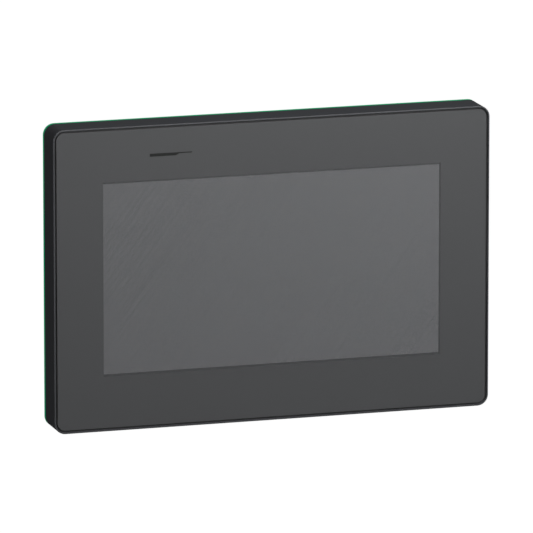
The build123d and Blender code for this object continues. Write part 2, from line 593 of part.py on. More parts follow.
with BuildPart() as module_rear_shell:
    with BuildSketch(at(MODULE_REAR)):
        RectangleRounded(MODULE_WIDTH, MODULE_HEIGHT, MODULE_CORNER)
    extrude(amount=MODULE_REAR - MODULE_SPLIT)
    fillet(module_rear_shell.faces().sort_by(Axis.Y)[-1].edges(), 1.6)
    with BuildSketch(at(MODULE_REAR - MODULE_WALL)):
        RectangleRounded(
            MODULE_WIDTH - 2 * MODULE_WALL, MODULE_HEIGHT - 2 * MODULE_WALL, MODULE_CORNER - MODULE_WALL
        )
    extrude(amount=MODULE_REAR - MODULE_WALL - MODULE_SPLIT, mode=Mode.SUBTRACT)
    # screw columns
    with BuildSketch(at(MODULE_REAR - MODULE_WALL)):
        with Locations(*MODULE_SCREWS):
            Circle(3.8)
    extrude(amount=MODULE_REAR - MODULE_WALL - MAIN_REAR)
    with BuildSketch(at(MODULE_REAR)):
        with Locations(*MODULE_SCREWS):
            Circle(CLEAR_RADIUS)
    extrude(amount=MODULE_REAR - MAIN_REAR, mode=Mode.SUBTRACT)
    with BuildSketch(at(MODULE_REAR)):
        with Locations(*MODULE_SCREWS):
            Circle(2.8)
    extrude(amount=3.0, mode=Mode.SUBTRACT)
    # battery tub
    with BuildSketch(at(MODULE_REAR - MODULE_WALL)):
        with Locations((BATTERY_X, BATTERY_Z + 0.6)):
            Rectangle(DOOR_WIDTH + 3.0, DOOR_HEIGHT + 5.2)
    extrude(amount=MODULE_REAR - MODULE_WALL - TUB_FLOOR + 1.2)
    with BuildSketch(at(MODULE_REAR)):
        with Locations((BATTERY_X, BATTERY_Z)):
            Rectangle(DOOR_WIDTH - 3.0, DOOR_HEIGHT - 3.0)
    extrude(amount=MODULE_REAR - TUB_FLOOR, mode=Mode.SUBTRACT)
    # seat of the battery door, with room for its hinge barrel
    with BuildSketch(at(MODULE_REAR)):
        with Locations((BATTERY_X, BATTERY_Z)):
            Rectangle(DOOR_WIDTH + 0.7, DOOR_HEIGHT + 0.7)
        with Locations((BATTERY_X, HINGE_Z)):
            Rectangle(DOOR_WIDTH + 0.7, 3.4)
    extrude(amount=DOOR_THICKNESS + 1.2, mode=Mode.SUBTRACT)
    # hinge ears
    for ear_x in (BATTERY_X - DOOR_WIDTH / 2 + 0.3, BATTERY_X + DOOR_WIDTH / 2 - 2.9):
        with BuildSketch(Plane.YZ.offset(ear_x)):
            with Locations((HINGE_Y, HINGE_Z)):
                Circle(1.05)
            with Locations((HINGE_Y, HINGE_Z + 0.9)):
                Rectangle(2.1, 1.8)
        extrude(amount=2.6)
    with BuildSketch(Plane.YZ.offset(BATTERY_X)):
        with Locations((HINGE_Y, HINGE_Z)):
            Circle(0.62)
    extrude(amount=DOOR_WIDTH / 2 + 0.2, both=True, mode=Mode.SUBTRACT)
    # cooling slots in the rear face and the top wall
    with BuildSketch(at(MODULE_REAR)):
        with Locations((26, 22)):
            with GridLocations(0, 4.4, 1, 7):
                SlotOverall(38, 2.0)
    extrude(amount=MODULE_WALL, mode=Mode.SUBTRACT)
    with BuildSketch(above(MODULE_HEIGHT / 2)):
        with Locations((0, 29)):
            with GridLocations(6.0, 0, 13, 1):
                SlotOverall(8.0, 2.0, rotation=90)
    extrude(amount=-MODULE_WALL, mode=Mode.SUBTRACT)
    # port openings in the underside
    with BuildSketch(above(MODULE_BOTTOM)):
        with Locations((POWER_X, HEADER_Y)):
            Rectangle(18.2, 12.8)
        with Locations((JACK_XS[0], MAIN_REAR + JACK_TALL / 2), (JACK_XS[1], MAIN_REAR + JACK_TALL / 2)):
            Rectangle(JACK_WIDTH + 0.3, JACK_TALL + 0.3)
        with Locations((USB_HOST_X, MAIN_REAR + 3.7)):
            Rectangle(14.9, 7.7)
        with Locations((USB_DEVICE_X, MAIN_REAR + 1.6)):
            RectangleRounded(8.4, 3.6, 0.6)
    extrude(amount=MODULE_WALL, mode=Mode.SUBTRACT)
    # serial port opening in the right wall
    with Locations((MODULE_WIDTH / 2 - MODULE_WALL / 2, MAIN_REAR + 6.4, SERIAL_Z)):
        Box(MODULE_WALL + 0.4, 9.4, 18.4, mode=Mode.SUBTRACT)
    # recess for the rating plate
    with BuildSketch(at(MODULE_REAR)):
        with Locations((12, -24)):
            RectangleRounded(64, 24, 1.5)
    extrude(amount=0.4, mode=Mode.SUBTRACT)
save(module_rear_shell, "module_rear_shell")

with BuildPart() as rating_plate:
    with BuildSketch(at(MODULE_REAR - 0.1)):
        with Locations((12, -24)):
            RectangleRounded(63.4, 23.4, 1.2)
    extrude(amount=0.3)
save(rating_plate, "rating_plate")

pan_screws("module_screws", MODULE_SCREWS, MODULE_REAR - 3.0, 2.5, 1.6, MAIN_FRONT - 7.0)

with BuildPart() as main_board:
    with BuildSketch(at(MAIN_REAR)):
        RectangleRounded(111, 91, 2)
        with Locations(*MODULE_SCREWS):
            Circle(CLEAR_RADIUS, mode=Mode.SUBTRACT)
    extrude(amount=MAIN_REAR - MAIN_FRONT)
save(main_board, "main_board")

with BuildPart() as main_board_chips:
    with BuildSketch(at(MAIN_REAR + 1.4)):
        with Locations((26, 22)):
            Rectangle(17, 17)
        with Locations((6, 30), (6, 17)):
            Rectangle(9, 11)
    extrude(amount=1.4)
    with BuildSketch(at(MAIN_REAR + 4.5)):
        with Locations((-42, -14)):
            Rectangle(12, 12)
        with Locations((-24, -18), (-34, -30)):
            Circle(3.2)
    extrude(amount=4.5)
save(main_board_chips, "main_board_chips")

with BuildPart() as heat_sink:
    with BuildSketch(at(MAIN_REAR + 4.0)):
        with Locations((26, 22)):
            Rectangle(28, 28)
    extrude(amount=2.6)
    with BuildSketch(at(MAIN_REAR + 12.0)):
        with Locations((26, 22)):
            with GridLocations(3.6, 0, 8, 1):
                Rectangle(1.2, 28)
    extrude(amount=8.0)
save(heat_sink, "heat_sink")

with BuildPart() as dock_plug:
    with BuildSketch(at(MAIN_FRONT)):
        Rectangle(13.0, 7.0)
    extrude(amount=2.0)
    with BuildSketch(at(MAIN_FRONT)):
        Rectangle(9.0, 3.0)
    extrude(amount=MAIN_FRONT - DOCK_PLUG_TIP)
save(dock_plug, "dock_plug")

for number, x in enumerate(JACK_XS, 1):
    with BuildPart() as ethernet_jack:
        middle_y = MAIN_REAR + JACK_TALL / 2
        with BuildSketch(above(MODULE_BOTTOM - 0.4)):
            with Locations((x, middle_y)):
                Rectangle(JACK_WIDTH, JACK_TALL)
        extrude(amount=JACK_DEEP)
        # mouth for the plug, with the stepped notch of its latch
        with BuildSketch(above(MODULE_BOTTOM - 0.4)):
            with Locations((x, middle_y + 0.6)):
                Rectangle(11.9, 7.2)
            with Locations((x, middle_y - 3.6)):
                Rectangle(6.2, 2.4)
            with Locations((x, middle_y - 5.1)):
                Rectangle(3.4, 1.8)
        extrude(amount=15.0, mode=Mode.SUBTRACT)
    save(ethernet_jack, f"ethernet_jack_{number}")

with BuildPart() as usb_host_port:
    host_y = MAIN_REAR + 3.7
    with BuildSketch(above(MODULE_BOTTOM - 0.4)):
        with Locations((USB_HOST_X, host_y)):
            Rectangle(14.5, 7.3)
    extrude(amount=16.0)
    with BuildSketch(above(MODULE_BOTTOM - 0.4)):
        with Locations((USB_HOST_X, host_y)):
            Rectangle(12.6, 5.2)
    extrude(amount=11.0, mode=Mode.SUBTRACT)
    with BuildSketch(above(MODULE_BOTTOM + 0.6)):
        with Locations((USB_HOST_X, host_y - 1.1)):
            Rectangle(11.4, 1.9)
    extrude(amount=10.2)
save(usb_host_port, "usb_host_port")

with BuildPart() as usb_device_port:
    device_y = MAIN_REAR + 1.6
    with BuildSketch(above(MODULE_BOTTOM - 0.2)):
        with Locations((USB_DEVICE_X, device_y)):
            RectangleRounded(8.0, 3.2, 0.6)
    extrude(amount=6.0)
    with BuildSketch(above(MODULE_BOTTOM - 0.2)):
        with Locations((USB_DEVICE_X, device_y)):
            RectangleRounded(7.2, 2.4, 0.5)
    extrude(amount=4.6, mode=Mode.SUBTRACT)
    with BuildSketch(above(MODULE_BOTTOM + 0.4)):
        with Locations((USB_DEVICE_X, device_y - 0.3)):
            Rectangle(4.0, 0.7)
    extrude(amount=4.2)
save(usb_device_port, "usb_device_port")

SERIAL_FACE = MODULE_WIDTH / 2
SERIAL_Y = MAIN_REAR + 6.4
with BuildPart() as serial_port:
    with BuildSketch(Plane.YZ.offset(SERIAL_FACE - MODULE_WALL - 0.1)):
        with Locations((SERIAL_Y, SERIAL_Z)):
            Rectangle(12.4, 31.0)
    extrude(amount=-9.0)
    # D-shaped metal collar: wide side towards the rear
    with BuildSketch(Plane.YZ.offset(SERIAL_FACE - MODULE_WALL - 0.1)):
        with Locations((SERIAL_Y, SERIAL_Z)):
            Trapezoid(17.4, 8.4, 80, rotation=90)
    extrude(amount=6.1)
    with BuildSketch(Plane.YZ.offset(SERIAL_FACE + 4.0)):
        with Locations((SERIAL_Y, SERIAL_Z)):
            Trapezoid(16.2, 7.4, 80, rotation=90)
    extrude(amount=-5.6, mode=Mode.SUBTRACT)
save(serial_port, "serial_port")

with BuildPart() as serial_pins:
    with BuildSketch(Plane.YZ.offset(SERIAL_FACE - 1.6)):
        with Locations((SERIAL_Y - 1.42, SERIAL_Z)):
            with GridLocations(0, 2.77, 1, 4):
                Circle(0.5)
        with Locations((SERIAL_Y + 1.42, SERIAL_Z)):
            with GridLocations(0, 2.77, 1, 5):
                Circle(0.5)
    extrude(amount=4.8)
save(serial_pins, "serial_pins")

with BuildPart() as serial_jack_screws:
    with BuildSketch(Plane.YZ.offset(SERIAL_FACE)):
        with Locations((SERIAL_Y, SERIAL_Z - 12.5), (SERIAL_Y, SERIAL_Z + 12.5)):
            RegularPolygon(2.5, 6, major_radius=False)
            Circle(1.2, mode=Mode.SUBTRACT)
    extrude(amount=4.6)
save(serial_jack_screws, "serial_jack_screws")

# power header on the board, and the plug that pulls out of it downwards
with BuildPart() as power_header:
    with BuildSketch(above(MODULE_BOTTOM - 0.3)):
        with Locations((POWER_X, HEADER_Y)):
            Rectangle(17.8, 12.4)
    extrude(amount=12.0)
    with BuildSketch(above(MODULE_BOTTOM - 0.3)):
        with Locations((POWER_X, HEADER_Y)):
            Rectangle(16.2, 10.6)
    extrude(amount=9.0, mode=Mode.SUBTRACT)
save(power_header, "power_header")

with BuildPart() as power_header_pins:
    with BuildSketch(above(MODULE_BOTTOM + 8.7)):
        with Locations((POWER_X, HEADER_Y - 2.0)):
            with GridLocations(5.08, 0, 3, 1):
                Rectangle(1.0, 1.0)
    extrude(amount=-6.0)
save(power_header_pins, "power_header_pins")

with BuildPart() as power_plug:
    with BuildSketch(above(MODULE_BOTTOM + 8.2)):
        with Locations((POWER_X, HEADER_Y)):
            Rectangle(15.6, 10.0)
    extrude(amount=-16.0)
    # wire entries from below, sockets for the pins from above, screw wells from behind
    with BuildSketch(above(MODULE_BOTTOM - 7.8)):
        with Locations((POWER_X, HEADER_Y - 2.0)):
            with GridLocations(5.08, 0, 3, 1):
                Rectangle(3.4, 3.8)
    extrude(amount=6.4, mode=Mode.SUBTRACT)
    with BuildSketch(above(MODULE_BOTTOM + 8.2)):
        with Locations((POWER_X, HEADER_Y - 2.0)):
            with GridLocations(5.08, 0, 3, 1):
                Rectangle(1.6, 1.6)
    extrude(amount=-6.6, mode=Mode.SUBTRACT)
    with BuildSketch(at(HEADER_Y + 5.0)):
        with Locations((POWER_X, MODULE_BOTTOM - 4.0)):
            with GridLocations(5.08, 0, 3, 1):
                Circle(1.75)
    extrude(amount=4.4, mode=Mode.SUBTRACT)
save(power_plug, "power_plug")

with BuildPart() as power_plug_screws:
    with BuildSketch(at(HEADER_Y + 3.6)):
        with Locations((POWER_X, MODULE_BOTTOM - 4.0)):
            with GridLocations(5.08, 0, 3, 1):
                Circle(1.65)
    extrude(amount=3.0)
    with BuildSketch(at(HEADER_Y + 3.6)):
        with Locations((POWER_X, MODULE_BOTTOM - 4.0)):
            with GridLocations(5.08, 0, 3, 1):
                Rectangle(3.4, 0.6)
    extrude(amount=0.8, mode=Mode.SUBTRACT)
save(power_plug_screws, "power_plug_screws")

# battery, its holder and its hinged door
with BuildPart() as battery_holder:
    with BuildSketch(at(TUB_FLOOR + 2.0)):
        with Locations((BATTERY_X, BATTERY_Z)):
            RectangleRounded(25.0, 23.0, 1.5)
            Circle(10.2, mode=Mode.SUBTRACT)
    extrude(amount=2.0)
save(battery_holder, "battery_holder")

with BuildPart() as coin_cell:
    with BuildSketch(at(TUB_FLOOR + 3.2)):
        with Locations((BATTERY_X, BATTERY_Z)):
            Circle(10.0)
    extrude(amount=3.2)
    fillet(coin_cell.faces().sort_by(Axis.Y)[-1].edges(), 0.5)
save(coin_cell, "coin_cell")

with BuildPart() as battery_door:
    door_bottom = BATTERY_Z - DOOR_HEIGHT / 2
    with BuildSketch(at(MODULE_REAR - 0.1)):
        with Locations((BATTERY_X, (HINGE_Z - 1.4 + door_bottom) / 2)):
            Rectangle(DOOR_WIDTH, HINGE_Z - 1.4 - door_bottom)
        with Locations((BATTERY_X, HINGE_Z - 0.7)):
            Rectangle(DOOR_WIDTH - 7.0, 1.4)
    extrude(amount=DOOR_THICKNESS)
    with BuildSketch(Plane.YZ.offset(BATTERY_X)):
        with Locations((HINGE_Y, HINGE_Z)):
            Circle(1.2)
    extrude(amount=DOOR_WIDTH / 2 - 3.5, both=True)
    with BuildSketch(Plane.YZ.offset(BATTERY_X)):
        with Locations((HINGE_Y, HINGE_Z)):
            Circle(0.62)
    extrude(amount=DOOR_WIDTH / 2, both=True, mode=Mode.SUBTRACT)
    # finger scoop at the lower edge
    with BuildSketch(at(MODULE_REAR)):
        with Locations((BATTERY_X, door_bottom)):
            Circle(4.0)
    extrude(amount=0.9, mode=Mode.SUBTRACT)
save(battery_door, "battery_door")

with BuildPart() as hinge_pin:
    with BuildSketch(Plane.YZ.offset(BATTERY_X)):
        with Locations((HINGE_Y, HINGE_Z)):
            Circle(0.55)
    extrude(amount=DOOR_WIDTH / 2 - 0.3, both=True)
save(hinge_pin, "hinge_pin")

# latch on top of the module
with BuildPart() as module_latch:
    top = MODULE_HEIGHT / 2
    with Locations((0, LATCH_Y, top + 1.5)):
        Box(24, 10, 2.4)
    fillet(module_latch.faces().sort_by(Axis.Z)[-1].edges(), 0.8)
    with Locations((0, LATCH_Y, top - 1.0)):
        Box(8.0, 4.0, 3.2)
    with Locations((0, LATCH_Y, top - 3.2)):
        Box(18, 8, 1.7)
    # ridges for the finger
    with Locations((0, LATCH_Y, top + 2.7)):
        with GridLocations(2.4, 0, 7, 1):
            Box(1.1, 7.6, 0.9, mode=Mode.SUBTRACT)
save(module_latch, "module_latch")

with BuildPart() as latch_blade:
    with BuildSketch(at(17.6)):
        with Locations((0, (top - 4.05 + STEM_RADIUS + 0.5) / 2)):
            Rectangle(6.0, top - 4.05 - STEM_RADIUS - 0.5)
        with Locations((0, top - 5.55)):
            Rectangle(16.0, 3.0)
    extrude(amount=1.0)
save(latch_blade, "latch_blade")
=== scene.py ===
"""Looks of the modular HMI touch panel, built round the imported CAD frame.

Metres, +Z up; the screen looks along -Y.
"""

import math

import bmesh
import bpy
from mathutils import Matrix, Vector
from mathutils.geometry import tessellate_polygon


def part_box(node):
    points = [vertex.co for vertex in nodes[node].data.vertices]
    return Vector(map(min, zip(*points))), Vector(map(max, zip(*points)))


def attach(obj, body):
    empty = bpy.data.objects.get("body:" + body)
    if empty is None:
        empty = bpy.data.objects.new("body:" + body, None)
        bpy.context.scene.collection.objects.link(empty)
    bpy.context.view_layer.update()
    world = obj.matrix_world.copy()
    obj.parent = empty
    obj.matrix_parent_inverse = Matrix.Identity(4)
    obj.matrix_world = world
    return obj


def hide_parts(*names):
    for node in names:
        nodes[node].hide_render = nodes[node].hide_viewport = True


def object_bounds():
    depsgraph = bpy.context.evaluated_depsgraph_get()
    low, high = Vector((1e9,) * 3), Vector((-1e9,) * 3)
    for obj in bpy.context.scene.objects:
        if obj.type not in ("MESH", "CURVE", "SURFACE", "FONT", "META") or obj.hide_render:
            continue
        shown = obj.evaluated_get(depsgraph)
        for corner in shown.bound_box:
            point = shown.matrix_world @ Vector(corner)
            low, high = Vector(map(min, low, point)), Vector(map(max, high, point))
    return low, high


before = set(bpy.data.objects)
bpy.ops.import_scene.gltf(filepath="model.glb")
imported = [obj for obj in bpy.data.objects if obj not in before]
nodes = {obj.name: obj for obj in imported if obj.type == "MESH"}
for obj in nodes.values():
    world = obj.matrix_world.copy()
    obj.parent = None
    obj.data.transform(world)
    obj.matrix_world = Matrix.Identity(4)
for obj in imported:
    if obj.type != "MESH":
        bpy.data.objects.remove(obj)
cad_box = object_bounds()
MM = 0.001

FRONT_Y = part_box("front_sheet")[0][1]
FLOOR_DROP = 2.4
ACTIVE_WIDTH = 154.08 * MM  # the 7 inch screen's active area
ACTIVE_HEIGHT = 85.0 * MM
THREAD_PITCH = 1.5 * MM  # M22 x 1.5
STEM_SCREW_CIRCLE = 14.2 * MM  # radius
GROOVE_WIDTH = 0.9 * MM  # between the front sheet and the bezel's lip
SHEET_CORNER = 3.5 * MM


# ---------------------------------------------------------------- shader building blocks
def new_group(name, inputs, outputs):
    """An empty shader node group with named inputs {name: (kind, default)} and outputs {name: kind}."""
    tree = bpy.data.node_groups.new(name, "ShaderNodeTree")
    for label, (kind, value) in inputs.items():
        socket = tree.interface.new_socket(label, in_out="INPUT", socket_type="NodeSocket" + kind)
        socket.default_value = value
    for label, kind in outputs.items():
        tree.interface.new_socket(label, in_out="OUTPUT", socket_type="NodeSocket" + kind)
    start = tree.nodes.new("NodeGroupInput")
    end = tree.nodes.new("NodeGroupOutput")
    return tree, start, end


def math_node(tree, operation, first, second=0.0, third=None):
    node = tree.nodes.new("ShaderNodeMath")
    node.operation = operation
    for slot, value in enumerate((first, second, third)):
        if value is None:
            continue
        if hasattr(value, "is_output"):
            tree.links.new(value, node.inputs[slot])
        else:
            node.inputs[slot].default_value = value
    return node.outputs[0]


def noise_node(tree, vector, scale, detail=2.0, roughness=0.5):
    node = tree.nodes.new("ShaderNodeTexNoise")
    node.inputs["Detail"].default_value = detail
    node.inputs["Roughness"].default_value = roughness
    tree.links.new(vector, node.inputs["Vector"])
    if hasattr(scale, "is_output"):
        tree.links.new(scale, node.inputs["Scale"])
    else:
        node.inputs["Scale"].default_value = scale
    return node.outputs["Fac"]


def object_place(tree):
    return tree.nodes.new("ShaderNodeTexCoord").outputs["Object"]


def color_mix(tree, factor, first, second):
    """first where factor is 0, second where it is 1; each is a socket or a color."""
    node = tree.nodes.new("ShaderNodeMix")
    node.data_type = "RGBA"
    tree.links.new(factor, node.inputs["Factor"])
    for label, value in (("A", first), ("B", second)):
        if hasattr(value, "is_output"):
            tree.links.new(value, node.inputs[label])
        else:
            node.inputs[label].default_value = (*value, 1.0)
    return node.outputs["Result"]


def moulded_grain_group():
    """Spark-eroded mould texture: fine pits, with a slow drift of gloss and tone."""
    tree, start, end = new_group(
        "moulded_grain",
        {"Grain Size": ("Float", 0.00035), "Tone Drift": ("Float", 0.06), "Gloss Drift": ("Float", 0.05)},
        {"Height": "Float", "Tone": "Float", "Gloss": "Float"},
    )
    place = object_place(tree)
    fine_scale = math_node(tree, "DIVIDE", 1.0, start.outputs["Grain Size"])
    fine = noise_node(tree, place, fine_scale, 3.0, 0.6)
    cells = tree.nodes.new("ShaderNodeTexVoronoi")
    tree.links.new(place, cells.inputs["Vector"])
    tree.links.new(fine_scale, cells.inputs["Scale"])
    pits = math_node(tree, "MULTIPLY_ADD", cells.outputs["Distance"], 0.6, fine)
    slow = noise_node(tree, place, 28.0, 2.0)
    swing = math_node(tree, "SUBTRACT", slow, 0.5)
    tone = math_node(tree, "MULTIPLY_ADD", swing, start.outputs["Tone Drift"], 1.0)
    gloss = math_node(tree, "MULTIPLY", swing, start.outputs["Gloss Drift"])
    tree.links.new(pits, end.inputs["Height"])
    tree.links.new(tone, end.inputs["Tone"])
    tree.links.new(gloss, end.inputs["Gloss"])
    return tree


def drawn_metal_group():
    """Fine parallel draw lines along one axis, for plated and rolled metal."""
    tree, start, end = new_group(
        "drawn_metal",
        {"Stretch": ("Vector", (1.0, 1.0, 30.0)), "Line Scale": ("Float", 900.0)},
        {"Height": "Float", "Tone": "Float", "Gloss": "Float"},
    )
    place = object_place(tree)
    stretch = tree.nodes.new("ShaderNodeVectorMath")
    stretch.operation = "DIVIDE"
    tree.links.new(place, stretch.inputs[0])
    tree.links.new(start.outputs["Stretch"], stretch.inputs[1])
    lines = noise_node(tree, stretch.outputs[0], start.outputs["Line Scale"], 3.0, 0.65)
    slow = noise_node(tree, place, 60.0, 2.0)
    tone = math_node(tree, "MULTIPLY_ADD", math_node(tree, "SUBTRACT", slow, 0.5), 0.18, 1.0)
    gloss = math_node(tree, "MULTIPLY", math_node(tree, "SUBTRACT", lines, 0.5), 0.16)
    tree.links.new(lines, end.inputs["Height"])
    tree.links.new(tone, end.inputs["Tone"])
    tree.links.new(gloss, end.inputs["Gloss"])
    return tree


def handling_marks_group():
    """Where hands and tools have polished a moulding: sparse soft smears and a few hair scratches."""
    tree, start, end = new_group(
        "handling_marks", {"Smear Scale": ("Float", 35.0), "Amount": ("Float", 1.0)}, {"Mask": "Float"}
    )
    place = object_place(tree)
    smears = noise_node(tree, place, start.outputs["Smear Scale"], 5.0, 0.6)
    soft = math_node(tree, "MULTIPLY", math_node(tree, "SUBTRACT", smears, 0.5), 2.0)
    hair = tree.nodes.new("ShaderNodeTexNoise")
    hair.inputs["Scale"].default_value = 260.0
    hair.inputs["Distortion"].default_value = 2.5
    tree.links.new(place, hair.inputs["Vector"])
    line = math_node(tree, "ABSOLUTE", math_node(tree, "SUBTRACT", hair.outputs["Fac"], 0.5))
    thin = math_node(tree, "LESS_THAN", line, 0.002)
    both = math_node(tree, "MULTIPLY_ADD", thin, 0.35, math_node(tree, "MAXIMUM", soft, 0.0))
    tree.links.new(math_node(tree, "MULTIPLY", both, start.outputs["Amount"]), end.inputs["Mask"])
    return tree


GRAIN = moulded_grain_group()
DRAWN = drawn_metal_group()
MARKS = handling_marks_group()


def blank_material(name):
    material = bpy.data.materials.new(name)
    material.use_nodes = True
    tree = material.node_tree
    return material, tree, tree.nodes["Principled BSDF"]


def place_group(tree, group, **values):
    node = tree.nodes.new("ShaderNodeGroup")
    node.node_tree = group
    for label, value in values.items():
        node.inputs[label.replace("_", " ").title()].default_value = value
    return node


def tinted(tree, color, tone):
    """color times a tone value that varies over the surface."""
    node = tree.nodes.new("ShaderNodeVectorMath")
    node.operation = "SCALE"
    if hasattr(color, "is_output"):
        tree.links.new(color, node.inputs[0])
    else:
        node.inputs[0].default_value = color
    tree.links.new(tone, node.inputs["Scale"])
    return node.outputs[0]


def add_bump(tree, shader, height, strength, distance):
    bump = tree.nodes.new("ShaderNodeBump")
    bump.inputs["Strength"].default_value = strength
    bump.inputs["Distance"].default_value = distance
    tree.links.new(height, bump.inputs["Height"])
    tree.links.new(bump.outputs[0], shader.inputs["Normal"])


def moulded_plastic(name, color, roughness, grain=0.35, bump=0.35, marks=0.0, specular=0.5, drift=0.06):
    """Injection-moulded plastic with its mould grain; marks is how much handling has polished it."""
    material, tree, shader = blank_material(name)
    group = place_group(tree, GRAIN, grain_size=grain * MM, tone_drift=drift)
    tree.links.new(tinted(tree, color, group.outputs["Tone"]), shader.inputs["Base Color"])
    rough = math_node(tree, "ADD", group.outputs["Gloss"], roughness)
    if marks:
        worn = place_group(tree, MARKS, amount=marks)
        rough = math_node(tree, "SUBTRACT", rough, worn.outputs["Mask"])
    tree.links.new(rough, shader.inputs["Roughness"])
    shader.inputs["Specular IOR Level"].default_value = specular
    add_bump(tree, shader, group.outputs["Height"], bump, 0.02 * MM)
    return material


def clear_cover(name, color, roughness, alpha):
    """A clear cover, seen through by alpha."""
    material, tree, shader = blank_material(name)
    group = place_group(tree, GRAIN, grain_size=0.2 * MM)
    tree.links.new(tinted(tree, color, group.outputs["Tone"]), shader.inputs["Base Color"])
    tree.links.new(math_node(tree, "ADD", group.outputs["Gloss"], roughness), shader.inputs["Roughness"])
    shader.inputs["Alpha"].default_value = alpha
    return material


def inside_rectangle(tree, across, upright, half_width, half_height):
    """1 inside a rectangle round the origin of the two coordinates, 0 outside."""
    near_x = math_node(tree, "LESS_THAN", math_node(tree, "ABSOLUTE", across), half_width)
    near_z = math_node(tree, "LESS_THAN", math_node(tree, "ABSOLUTE", upright), half_height)
    return math_node(tree, "MULTIPLY", near_x, near_z)


def inside_rounded(tree, half_width, half_height, corner):
    """1 inside a rectangle with rounded corners in the XZ plane round the origin, 0 outside."""
    split = tree.nodes.new("ShaderNodeSeparateXYZ")
    tree.links.new(object_place(tree), split.inputs[0])
    beyond = []
    for axis, half in (("X", half_width), ("Z", half_height)):
        reach = math_node(tree, "SUBTRACT", math_node(tree, "ABSOLUTE", split.outputs[axis]), half - corner)
        beyond.append(math_node(tree, "MAXIMUM", reach, 0.0))
    upright_square = math_node(tree, "MULTIPLY", beyond[1], beyond[1])
    squares = math_node(tree, "MULTIPLY_ADD", beyond[0], beyond[0], upright_square)
    return math_node(tree, "LESS_THAN", squares, corner * corner)


def paint_shade(material, mask, color=(0.03, 0.0305, 0.032)):
    """Paints shade into the material: turns it dark where mask(tree) is 1."""
    tree = material.node_tree
    base = tree.nodes["Principled BSDF"].inputs["Base Color"]
    tree.links.new(color_mix(tree, mask(tree), base.links[0].from_socket, color), base)
    return material


def groove_shade_mask(tree):
    """Painted shade: the floor of the groove between the bezel's lip and the sheet, where shade falls, to be
    painted dark.
    """
    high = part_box("front_sheet")[1]
    reach = GROOVE_WIDTH - 0.05 * MM
    return inside_rounded(tree, high[0] + reach, high[2] + reach, SHEET_CORNER + reach)


def sheet_edge_shade_mask(tree):
    """Painted shade: the sheet's cut edge down in the groove, to be painted dark."""
    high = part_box("front_sheet")[1]
    inset = 0.03 * MM
    return math_node(
        tree, "SUBTRACT", 1.0, inside_rounded(tree, high[0] - inset, high[2] - inset, SHEET_CORNER - inset)
    )


def unlit_screen():
    """The display glass when off: a pale grey active area inside a black border."""
    material, tree, shader = blank_material("unlit_screen")
    split = tree.nodes.new("ShaderNodeSeparateXYZ")
    tree.links.new(object_place(tree), split.inputs[0])
    across, upright = split.outputs["X"], split.outputs["Z"]
    active = inside_rectangle(tree, across, upright, ACTIVE_WIDTH / 2, ACTIVE_HEIGHT / 2)
    cloud = noise_node(tree, object_place(tree), 14.0, 1.0)
    pale = tinted(tree, (0.385, 0.39, 0.402), math_node(tree, "MULTIPLY_ADD", cloud, 0.03, 0.985))
    tree.links.new(color_mix(tree, active, (0.004, 0.004, 0.0045), pale), shader.inputs["Base Color"])
    shader.inputs["Roughness"].default_value = 0.5
    return material


def plated_metal(name, color, roughness, stretch=(1.0, 1.0, 30.0), line_scale=900.0, bump=0.2):
    """Rolled or plated metal with draw lines, and a dull bloom on it that scatters a little light."""
    material, tree, shader = blank_material(name)
    group = place_group(tree, DRAWN, stretch=stretch, line_scale=line_scale)
    tree.links.new(tinted(tree, color, group.outputs["Tone"]), shader.inputs["Base Color"])
    rough = math_node(tree, "ADD", group.outputs["Gloss"], roughness)
    worn = place_group(tree, MARKS, amount=0.1, smear_scale=120.0)
    tree.links.new(math_node(tree, "ADD", rough, worn.outputs["Mask"]), shader.inputs["Roughness"])
    shader.inputs["Metallic"].default_value = 0.75
    add_bump(tree, shader, group.outputs["Height"], bump, 0.01 * MM)
    return material


def circuit_laminate():
    """Solder mask over copper: stepped tracks a shade lighter than the mask, and rows of tinned pads."""
    material, tree, shader = blank_material("circuit_laminate")
    place = object_place(tree)
    split = tree.nodes.new("ShaderNodeSeparateXYZ")
    tree.links.new(place, split.inputs[0])
    flat = tree.nodes.new("ShaderNodeCombineXYZ")
    tree.links.new(split.outputs["X"], flat.inputs["X"])
    tree.links.new(split.outputs["Z"], flat.inputs["Y"])
    tracks = tree.nodes.new("ShaderNodeTexBrick")
    tracks.offset = 0.37
    tracks.inputs["Scale"].default_value = 1.0 / (7.0 * MM)
    tracks.inputs["Mortar Size"].default_value = 0.03
    tracks.inputs["Brick Width"].default_value = 1.3
    tracks.inputs["Row Height"].default_value = 0.17
    tree.links.new(flat.outputs[0], tracks.inputs["Vector"])
    pads = tree.nodes.new("ShaderNodeTexVoronoi")
    pads.inputs["Scale"].default_value = 1.0 / (3.1 * MM)
    pads.inputs["Randomness"].default_value = 0.55
    tree.links.new(flat.outputs[0], pads.inputs["Vector"])
    pad = math_node(tree, "LESS_THAN", pads.outputs["Distance"], 0.12)
    mask = color_mix(tree, tracks.outputs["Fac"], (0.008, 0.095, 0.038), (0.02, 0.17, 0.07))
    tree.links.new(color_mix(tree, pad, mask, (0.62, 0.6, 0.55)), shader.inputs["Base Color"])
    tree.links.new(pad, shader.inputs["Metallic"])
    shader.inputs["Roughness"].default_value = 0.32
    add_bump(tree, shader, math_node(tree, "ADD", tracks.outputs["Fac"], pad), 0.4, 0.04 * MM)
    return material


